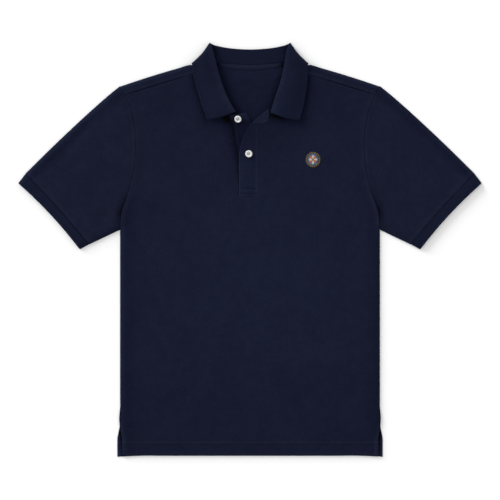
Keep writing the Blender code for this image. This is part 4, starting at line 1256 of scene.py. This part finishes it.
topPlacket = {
    "lift": 0.35, "wall": 1.0, "rows": 170, "columns": 26,
    "free": [(-21.2, 102.6), (-21.2, 130), (-21.2, 160), (-20.8, 184), (-18.4, 200), (-14.2, 212.5),
             (-6.2, 230.6), (2.3, 242.8), (13.3, 252.6), (24.5, 261.5), (35.5, 271)],
    "sewn": [(16.4, 102.6), (16.4, 130), (16.4, 160), (16.4, 190), (16.4, 207), (16.5, 219), (17.2, 230),
             (19.5, 239), (25.5, 244.2), (33, 246.5), (36.4, 258)],
    "stitches": (118.5, 109.4), "boxTop": 125.0, "rise": 0.15, "turnUp": 0.7, "buttonhole": (21.5, 255.4),
    # strength, place and half width in from the sewn edge
    "sewnTones": [(0.34, 2.8, 4.0)], "sewnSink": (0.62, 8.0), "footSink": (0.6, 2.8),
}
underPlacket = {
    "lift": 0.0, "wall": 0.9, "rows": 130, "columns": 26, "sink": 1.1,
    "sewn": [(-21.5, 110.4), (-22.5, 145), (-24.5, 180), (-27.4, 200), (-30.9, 221), (-34.4, 241),
             (-39.2, 258.8)],
    "free": [(10.5, 110.4), (10.5, 141), (10, 172), (9, 203), (5, 236), (-8, 263.6)],
    # height, place and half width of the upright folds, in from the sewn edge
    "folds": [(0.6, 7.5, 2.6), (-0.5, 13.0, 3.0), (0.3, 21.0, 3.0)],
    # strength, place and half width in from the free edge
    "freeTones": [(0.20, 1.0, 1.3), (-0.08, 4.2, 1.2)],
}


def topRelief(x, y, across, width, along):
    # seam and edge rows down the strip, a stitched box at its foot; across is measured from the free edge
    look = topPlacket
    fromSewn = width - across
    foot = y - look["free"][0][1]
    inner = easeStep((across - 2.5) / 2.0) * easeStep((fromSewn - 1.0) / 2.0) * (y < look["boxTop"])
    box = softLines(y, [(1.0, level, 1.0) for level in look["stitches"]]) * inner
    straight = easeStep((212.0 - y) / 60.0)
    wearAndShading = 0.22 * bell(across, 1.5) + 0.20 * bell(across, 12.0) * straight
    wearAndShading = wearAndShading + softLines(fromSewn, look["sewnTones"]) * (0.8 + 0.2 * straight) + broadTone(x, y)
    wearAndShading = wearAndShading - 0.6 * box + 0.12 * bell(y - 114.2, 2.2) * inner + 0.10 * bell(foot, 2.2)
    # the neck end turns up: paler above the turn, with painted shadow below it
    over = y - (241.2 + 0.17 * (x - 8.0)) - 3.0 * bell(x - 5.0, 6.0)
    wearAndShading = wearAndShading + 0.30 * easeStep((over + 0.6) / 1.4) - 0.10 * bell(over + 2.0, 7.0) * (over < 0.5)
    # the buttonhole is sunk and darkened with painted shade in its slit
    holeX, holeY = look["buttonhole"]
    hole = bell(x - holeX, 1.5) * bell(y - holeY, 1.2)
    pucker = 0.05 * np.sin(y / 10.0 * fullTurn + x / 6.0) * easeStep(across / 3.0)
    sag = 0.09 * np.sin(np.pi * np.clip(across / width, 0, 1)) * np.sin((y - 130.0) / 26.0)
    sunk = np.maximum(*(depth * bell(gap, reach) for gap, (depth, reach) in
                        ((fromSewn, look["sewnSink"]), (foot, look["footSink"]))))
    height = look["rise"] * easeStep(across / width) + pucker + sag - 0.3 * bell(across, 0.8) - sunk
    height = height - 0.25 * box + look["turnUp"] * easeStep((over + 1.0) / 2.5)
    return height - 0.5 * hole, wearAndShading - 0.75 * hole


def underRelief(x, y, across, width, along):
    # soft upright folds with a painted highlight on one fold's ridge, a pale neck seam along the top, a pale
    # free edge; sunk away from its sewn edge, with painted shade at that edge and below the top
    look = underPlacket
    fromSewn = width - across
    top = along.max() - along
    wearAndShading = softLines(across, look["freeTones"])
    wearAndShading = wearAndShading + 0.24 * easeStep((5.6 - top) / 2.0) - 0.12 * bell(top - 7.2, 1.4)
    wearAndShading = wearAndShading + 0.14 * bell(fromSewn - 7.0, 2.2) * easeStep((along - 60.0) / 40.0)
    wearAndShading = wearAndShading - 0.34 * bell(fromSewn, 3.0) - 0.5 * easeStep((top - 7.0) / 9.0)
    folds = softLines(fromSewn, look["folds"]) * easeStep(along / 60.0)
    return folds - look["sink"] * easeStep(fromSewn / 7.0) - 0.3 * bell(fromSewn, 1.2), wearAndShading


def placketCloth(name, look, relief):
    # a strip between its two edges, laid on the front's surface and moved out by its lift
    free, sewn = (smoothLine(look[edge], look["rows"]) for edge in ("free", "sewn"))
    width = np.linalg.norm(sewn - free, axis=1)
    edgeSteps = np.array([0.0, 0.5, 1.1, 1.8, 2.6, 3.6])
    steps = gradedColumns(width, edgeSteps, look["columns"], edgeSteps)
    width = width[:, None]
    plan = free[:, None] + (sewn - free)[:, None] * (steps / width)[..., None]
    along = np.broadcast_to(lengthAlong(0.5 * (free + sewn))[:, None], steps.shape)
    height, wearAndShading = relief(plan[..., 0], plan[..., 1], steps, width, along)
    z = upperFace(plan[..., 0], plan[..., 1]) + look["lift"] + height
    points = np.concatenate([plan, z[..., None]], axis=-1)
    if sewn[0, 0] < free[0, 0]:
        points, wearAndShading, steps = points[:, ::-1], wearAndShading[:, ::-1], steps[:, ::-1]
    return clothObject(name, points, np.stack([steps, along], axis=-1), wearAndShading, look["wall"], 1, piqueCloth)


tapeLook = {"half": 62.5, "depth": 8.6, "dip": 2.0, "wall": 0.7, "columns": 90, "rows": 14,
            "endShade": (0.8, 8.0)}


def neckTape():
    # the bound strip inside the back, just below the neck seam
    look = tapeLook
    x = np.linspace(-look["half"], look["half"], look["columns"])
    depth = look["depth"] - look["dip"] * (x / look["half"]) ** 2
    share = np.linspace(1.0, 0.0, look["rows"])[:, None]
    y = backSeamY(x) - 0.1 - depth * share
    x = np.broadcast_to(x, y.shape)
    edge = np.minimum(share, 1.0 - share) * depth
    crown = 0.3 * (1.0 - bell(edge, 2.2)) - 0.1 * bell(edge - 1.6, 0.6)
    z = lowerFace(x, y) + shirt["wall"] + 0.05 + crown
    strength, width = look["endShade"]
    # painted shade on the sunk line near each edge and at both ends, where the tape runs under the collar
    wearAndShading = 0.08 - 0.10 * bell(edge - 1.6, 0.7) - strength * bell(look["half"] - np.abs(x), width)
    points = np.stack([x, y, z], axis=-1)
    return clothObject("neckTape", points, points[..., :2], wearAndShading, look["wall"], 1, tapeCloth)


buttonLook = {
    # radius and height of the rim's profile, from the face out and round to the underside
    "profile": [(3.1, 1.75), (3.6, 1.95), (4.2, 2.45), (4.8, 2.6), (5.5, 2.6), (6.15, 2.35), (6.55, 1.9),
                (6.7, 1.4), (6.5, 0.8), (5.9, 0.3), (4.8, 0.05)],
    "around": 72, "holes": 1.6, "holeRadius": 0.84, "holeEdge": 0.12, "floor": 0.35,
    "threadOffsets": [-0.42, 0.0, 0.42], "threadZ": 1.9, "threadLength": 4.3, "threadRadius": 0.24,
}


def buttonPoints():
    # a turned disc: rings of points out over its face and back under it; four holes pressed into the face
    look = buttonLook
    faceRadius, faceZ = look["profile"][0]
    face = np.linspace(0.0, faceRadius, 24)[1:]
    rim = smoothLine(look["profile"], 34)[1:]
    radius = np.concatenate([face, rim[:, 0], [3.0]])
    level = np.concatenate([np.full(len(face), faceZ), rim[:, 1], [0.0]])
    around = look["around"]
    turn = np.arange(around) / around * fullTurn
    x, y = radius[:, None] * np.cos(turn), radius[:, None] * np.sin(turn)
    z = np.broadcast_to(level[:, None], x.shape)
    gap = np.hypot(np.abs(x) - look["holes"], np.abs(y) - look["holes"])
    onFace = np.arange(len(radius))[:, None] < len(face)
    hole = easeStep(0.5 * (gap - look["holeRadius"]) / look["holeEdge"] + 0.5)
    z = np.where(onFace, mixed(look["floor"], z, hole), z)
    points = np.concatenate([np.stack([x, y, z], axis=-1).reshape(-1, 3), [(0, 0, faceZ), (0, 0, 0)]])
    # the grid's faces turned over, and a fan to the middle of each side
    quads = np.roll(gridFaces(*x.shape, wrap=True)[..., ::-1], 1, axis=-1).reshape(-1, 4)
    ring = np.append(np.arange(around), 0)
    last = ring + x.size - around
    fans = [np.stack([np.full(around, x.size), ring[:-1], ring[1:]], axis=-1),
            np.stack([np.full(around, x.size + 1), last[1:], last[:-1]], axis=-1)]
    return points, quads.tolist() + np.concatenate(fans).tolist()


def turned(points, angles, place):
    # turns points about x, y and z in that order, then moves them
    a, b, c = angles
    aboutX = np.array([[1, 0, 0], [0, np.cos(a), -np.sin(a)], [0, np.sin(a), np.cos(a)]])
    aboutY = np.array([[np.cos(b), 0, np.sin(b)], [0, 1, 0], [-np.sin(b), 0, np.cos(b)]])
    aboutZ = np.array([[np.cos(c), -np.sin(c), 0], [np.sin(c), np.cos(c), 0], [0, 0, 1]])
    return np.asarray(points) @ (aboutZ @ aboutY @ aboutX).T + np.asarray(place)


def sewnButton(name, node, angles, lift):
    # the disc at its node's place, and the thread through its holes as a piece of its own
    look = buttonLook
    low, high = (np.array(corner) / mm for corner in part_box(node))
    middle = 0.5 * (low + high)
    place = (middle[0], middle[1], low[2] + lift)
    points, faces = buttonPoints()
    disc = meshPiece(name, turned(points, angles, place), faces, buttonResin)
    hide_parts(node)
    centres = [(side * look["holes"] + step, 0.0, look["threadZ"])
               for side in (-1, 1) for step in look["threadOffsets"]]
    ways = [(0.06 * step, 1.0, 0.0) for side in (-1, 1) for step in (-1, 0, 1)]
    parts = threadArray(centres, ways, upward, look["threadLength"], look["threadRadius"], sides=8, bow=1.6)
    parts = (turned(parts[0], angles, place), parts[1], parts[2])
    threadObject(name + "Thread", [parts], buttonThread)


motifLook = {
    "lift": 0.35, "taller": 1.06, "rim": 0.93,
    "rows": 0.46, "length": 3.2, "fieldRadius": 10.6, "ring": 150, "ringRadius": 12.5, "leaves": 22,
    # place along each leaf and thread length
    "leafThreads": [(-0.4, 1.9), (0.0, 2.6), (0.4, 1.9)],
    "petals": 8, "petalStart": 1.2, "petalReach": 6.8, "petalWidth": 4.6,
    "gold": (0.27, 0.18, 0.065), "blue": (0.13, 0.21, 0.33), "coral": (0.42, 0.13, 0.09),
    "pale": (0.56, 0.52, 0.46),
}
motifMiddle = 0.5 * (motifLow + motifHigh)
motifReach = 0.5 * (motifHigh - motifLow)


def compass(turn):
    # unit steps from the middle at each angle, clockwise from the top
    return np.column_stack([np.sin(turn), np.cos(turn)])


def motifThreads(centres, ways, lengths, radius, lift):
    # threads laid on the motif's ground, in millimetres from its middle
    x = motifMiddle[0] + centres[:, 0]
    y = motifMiddle[1] + motifLook["taller"] * centres[:, 1]
    spots = np.column_stack([x, y, frontTop(x, y) + motifLook["lift"] + lift])
    ways = np.column_stack([np.broadcast_to(ways, centres.shape), np.zeros(len(centres))])
    return threadArray(spots, ways, upward, lengths, radius)


def motifGround():
    # a disc read from a square grid: each side squeezed by the root of 1 - half the other's square
    a, b = np.meshgrid(*[np.linspace(-1.0, 1.0, 41)] * 2)
    u, v = a * np.sqrt(1.0 - 0.5 * b * b), b * np.sqrt(1.0 - 0.5 * a * a)
    x, y = motifMiddle[0] + u * motifReach[0], motifMiddle[1] + v * motifReach[1]
    fall = easeStep((np.hypot(u, v) - motifLook["rim"]) / (1.0 - motifLook["rim"]))
    points = np.stack([x, y, frontTop(x, y) + 0.1 - 0.2 * fall], axis=-1)
    return clothObject("motifGround", points, points[..., :2], 0.0, 0.4, 1, tapeCloth)


def motifField():
    # broken rows of stitches, each row shifted against the last
    look = motifLook
    rows = np.arange(-look["fieldRadius"] + 0.2, look["fieldRadius"], look["rows"])
    half = np.sqrt(np.maximum(look["fieldRadius"] ** 2 - rows ** 2, 0.0))
    centres = []
    for number, (level, reach) in enumerate(zip(rows, half)):
        cells = np.arange(-reach + 0.8 + (number % 3) * 1.05, reach - 0.6, look["length"])
        centres.append(np.column_stack([cells, np.full(len(cells), level)]))
    return [motifThreads(np.concatenate(centres), (1.0, 0.12), 3.0, 0.26, 0.15)]


def motifRing():
    # a wreath: a laid thread all round, leaves of three slanted stitches on both sides, and a knot inside
    look = motifLook
    turn = np.arange(look["ring"]) / look["ring"] * fullTurn
    ring = [motifThreads(compass(turn) * look["ringRadius"], compass(turn + 0.5 * np.pi), 0.7, 0.24, 0.2)]
    leafTurn = np.arange(look["leaves"]) / look["leaves"] * fullTurn
    for out in (-1.0, 1.0):
        for step, length in look["leafThreads"]:
            around = leafTurn + out * step / look["ringRadius"] + 0.05 * out
            centres = compass(around) * (look["ringRadius"] + 0.9 * out + 0.25 * step)
            lean = compass(leafTurn + 0.5 * np.pi - 0.75 * out)
            ring.append(motifThreads(centres, lean, length, 0.26, 0.45))
    knot = turn[::12]
    return ring + [motifThreads(compass(knot) * 0.9, compass(knot + 0.85), 1.8, 0.3, 0.8)]


def motifPetals(first):
    # every other petal: satin stitches across it, widest past the middle
    look = motifLook
    share = np.linspace(0.12, 1.0, 15)
    width = look["petalWidth"] * np.sin(np.pi * share ** 1.25) ** 0.7 + 0.7
    petals = []
    for number in range(first, look["petals"], 2):
        angle = number / look["petals"] * fullTurn
        spots = compass([angle]) * (look["petalStart"] + look["petalReach"] * share)[:, None]
        petals.append(motifThreads(spots, compass([angle + 0.5 * np.pi]), width, 0.3, 0.55))
    return petals


def chestMotif():
    # the ground and four layers of thread, each a piece of its own colour
    ground = motifGround()
    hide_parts("chest_motif")
    layers = [("motifField", motifField(), "blue"), ("motifRing", motifRing(), "gold"),
              ("motifPetals", motifPetals(1), "coral"), ("motifPetalsPale", motifPetals(0), "pale")]
    for name, parts, colour in layers:
        material = threadMaterial("thread" + colour.capitalize(), motifLook[colour])
        threadObject(name, parts, material)


def besideLine(line, offset):
    # a line moved sideways, to its left when offset is plus
    way = np.gradient(line, axis=0)
    way /= np.linalg.norm(way, axis=1)[:, None]
    return line + np.stack([-way[:, 1], way[:, 0]], axis=-1) * offset


def mirroredRow(line, height):
    # the same row on both sides of the shirt, at the left side's heights
    def leftHeight(x, y):
        # the height at the same place on the left
        return height(np.abs(x), y)

    return [stitchRow(line * np.array([side, 1.0]), leftHeight) for side in (1.0, -1.0)]


def sleeveTop(x, y):
    # upper face of a sleeve's cloth
    return upperFace(x, y) + shirt["wall"] + sleeveRelief(np.abs(x), y, 0.0)[0]


def stripTop(x, y):
    # upper face of the back's strip in front of the shoulder fold
    gap = np.maximum(y - shoulderY(x) + shirt["forwardSeam"], 0.0) * np.cos(np.arctan(shirt["slope"]))
    return upperFace(x, y) + shirt["wall"] + seamRelief(gap, np.abs(x), ridge=0.45)[0]


def tableTop(x, y):
    # height of the surface that the shirt lies on
    return np.zeros(np.shape(x))


# how far each row lies from its seam; a minus is on the other side of the line's own way
sewingLook = {"inset": 3.0, "twin": 5.4, "armholeFront": -5.2, "armholeSleeve": 5.6, "cuff": -5.2}


def sewing():
    # rows of stitches on the front, the sleeves, the shoulders and the hem
    look = sewingLook
    hem = shirt["hemY"] + hemLook["depth"]
    wide = shirt["halfChest"] - look["inset"]
    rows = []
    for level in (hem, hem - look["twin"]):
        rows.append(stitchRow([(-wide, level), (wide, level)], frontTop))
        rows.append(stitchRow([(-wide - 2.0, level), (wide + 2.0, level)], tableTop, down=True))
    arm = armholeCurve[(armholeCurve[:, 1] < 296.0) & (armholeCurve[:, 1] > 44.0)]
    rows += mirroredRow(besideLine(arm, look["armholeFront"]), frontTop)
    rows += mirroredRow(besideLine(arm, look["armholeSleeve"]), sleeveTop)
    shoulder = np.linspace(94.0, 236.0, 60)
    seam = shoulderY(shoulder) - shirt["forwardSeam"] + look["twin"]
    rows += mirroredRow(np.column_stack([shoulder, seam]), stripTop)
    cuffLine = bowedLine(shirt["cuffSeam"], np.linspace(0.03, 0.97, 50))
    rows += mirroredRow(besideLine(cuffLine, look["cuff"]), sleeveTop)
    return threadObject("seamStitches", rows, seamThread)


print("front and back")
frontCloth = frontPanel()
backCloth = backPanel()
print("sleeves and cuffs")
sides = {"Left": 1, "Right": -1}
sleeves = [sleeveCloth("sleeve" + word, side) for word, side in sides.items()]
cuffs = [cuffCloth("cuff" + word, side) for word, side in sides.items()]
print("collar, plackets and tape")
collar = collarCloth()
topCloth = placketCloth("placketTopCloth", topPlacket, topRelief)
underCloth = placketCloth("placketUnderCloth", underPlacket, underRelief)
tape = neckTape()
print("buttons, motif and stitches")
# turns about x, y and z, then how high the button stands on its node's place
sewnButton("buttonNeck", "button_neck", (0.32, -0.26, 0.3), 2.3)
sewnButton("buttonChest", "button_chest", (0.03, 0.02, 0.1), 0.9)
chestMotif()
stitches = sewing()


stageLook = {"floor": 1.4, "floorZ": -0.0003, "light": 3.3, "spread": 26.0, "lightFrom": (-1.5, 1.4, 0.58),
             "sky": 0.90, "lens": 85.0, "view": 965.0}


def floorMaterial():
    # matt pale paper, with a very faint grain
    made, tree, shader, place = newMaterial("paleFloor", 0.95, 0.0)
    tone = blended(tree, noisy(tree, place, 300.0), (0.86, 0.86, 0.86, 1), (0.88, 0.88, 0.88, 1))
    tree.links.new(tone, shader.inputs["Base Color"])
    return made


def studioFloor():
    # one square sheet, just under the shirt
    half, z = stageLook["floor"], stageLook["floorZ"]
    mesh = bpy.data.meshes.new("floor")
    corners = [(-half, -half, z), (half, -half, z), (half, half, z), (-half, half, z)]
    mesh.from_pydata(corners, [], [(0, 1, 2, 3)])
    mesh.materials.append(floorMaterial())
    made = placed("floor", mesh)
    return made


def studioLight():
    # an even white sky, and a broad soft sun aimed from its place at the middle along its own -z
    look = stageLook
    world = bpy.data.worlds.new("softSky")
    bpy.context.scene.world = world
    world.use_nodes = True
    sky = world.node_tree.nodes["Background"]
    sky.inputs["Color"].default_value = (1, 1, 1, 1)
    sky.inputs["Strength"].default_value = look["sky"]
    lamp = bpy.data.lights.new("softBox", "SUN")
    lamp.energy = look["light"]
    lamp.angle = np.radians(look["spread"])
    light = placed("softBox", lamp)
    light.location = look["lightFrom"]
    x, y, z = look["lightFrom"]
    light.rotation_euler = (np.arctan2(np.hypot(x, y), z), 0.0, np.arctan2(y, x) + 0.5 * np.pi)


def studioCamera():
    # straight above the middle, as far off as its lens needs for the width of the view
    look = stageLook
    lens = bpy.data.cameras.new("camera")
    lens.lens = look["lens"]
    lens.clip_end = 20.0
    camera = placed("camera", lens)
    camera.location = (0.0, 0.0, look["lens"] / lens.sensor_width * look["view"] * mm)
    bpy.context.scene.camera = camera
    bpy.context.scene.view_settings.view_transform = "Standard"


print("studio")
floor = studioFloor()
studioLight()
studioCamera()

# flat cut of each sheet, width by length in metres
cuts = [
    # piece, node it stands for, slot, width, length, rests on, goes with
    (backCloth, "back_panel", "pique", 0.512, 0.79, [floor], []),
    (frontCloth, "front_panel", "pique", 0.500, 0.742, [backCloth], [stitches]),
    (sleeves[0], "sleeve_left", "pique", 0.620, 0.248, [floor], []),
    (sleeves[1], "sleeve_right", "pique", 0.620, 0.248, [floor], []),
    (cuffs[0], "cuff_left", "rib", 0.370, 0.024, [floor], []),
    (cuffs[1], "cuff_right", "rib", 0.370, 0.024, [floor], []),
    (collar, "collar", "rib", 0.440, 0.110, [frontCloth, backCloth], []),
    (topCloth, "placket_top", "pique", 0.037, 0.190, [frontCloth], []),
    (underCloth, "placket_under", "pique", 0.032, 0.154, [backCloth], []),
    (tape, "neck_tape", "tape", 0.125, 0.0104, [backCloth], []),
]
for piece, node, slot, width, length, below, others in cuts:
    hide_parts(node)
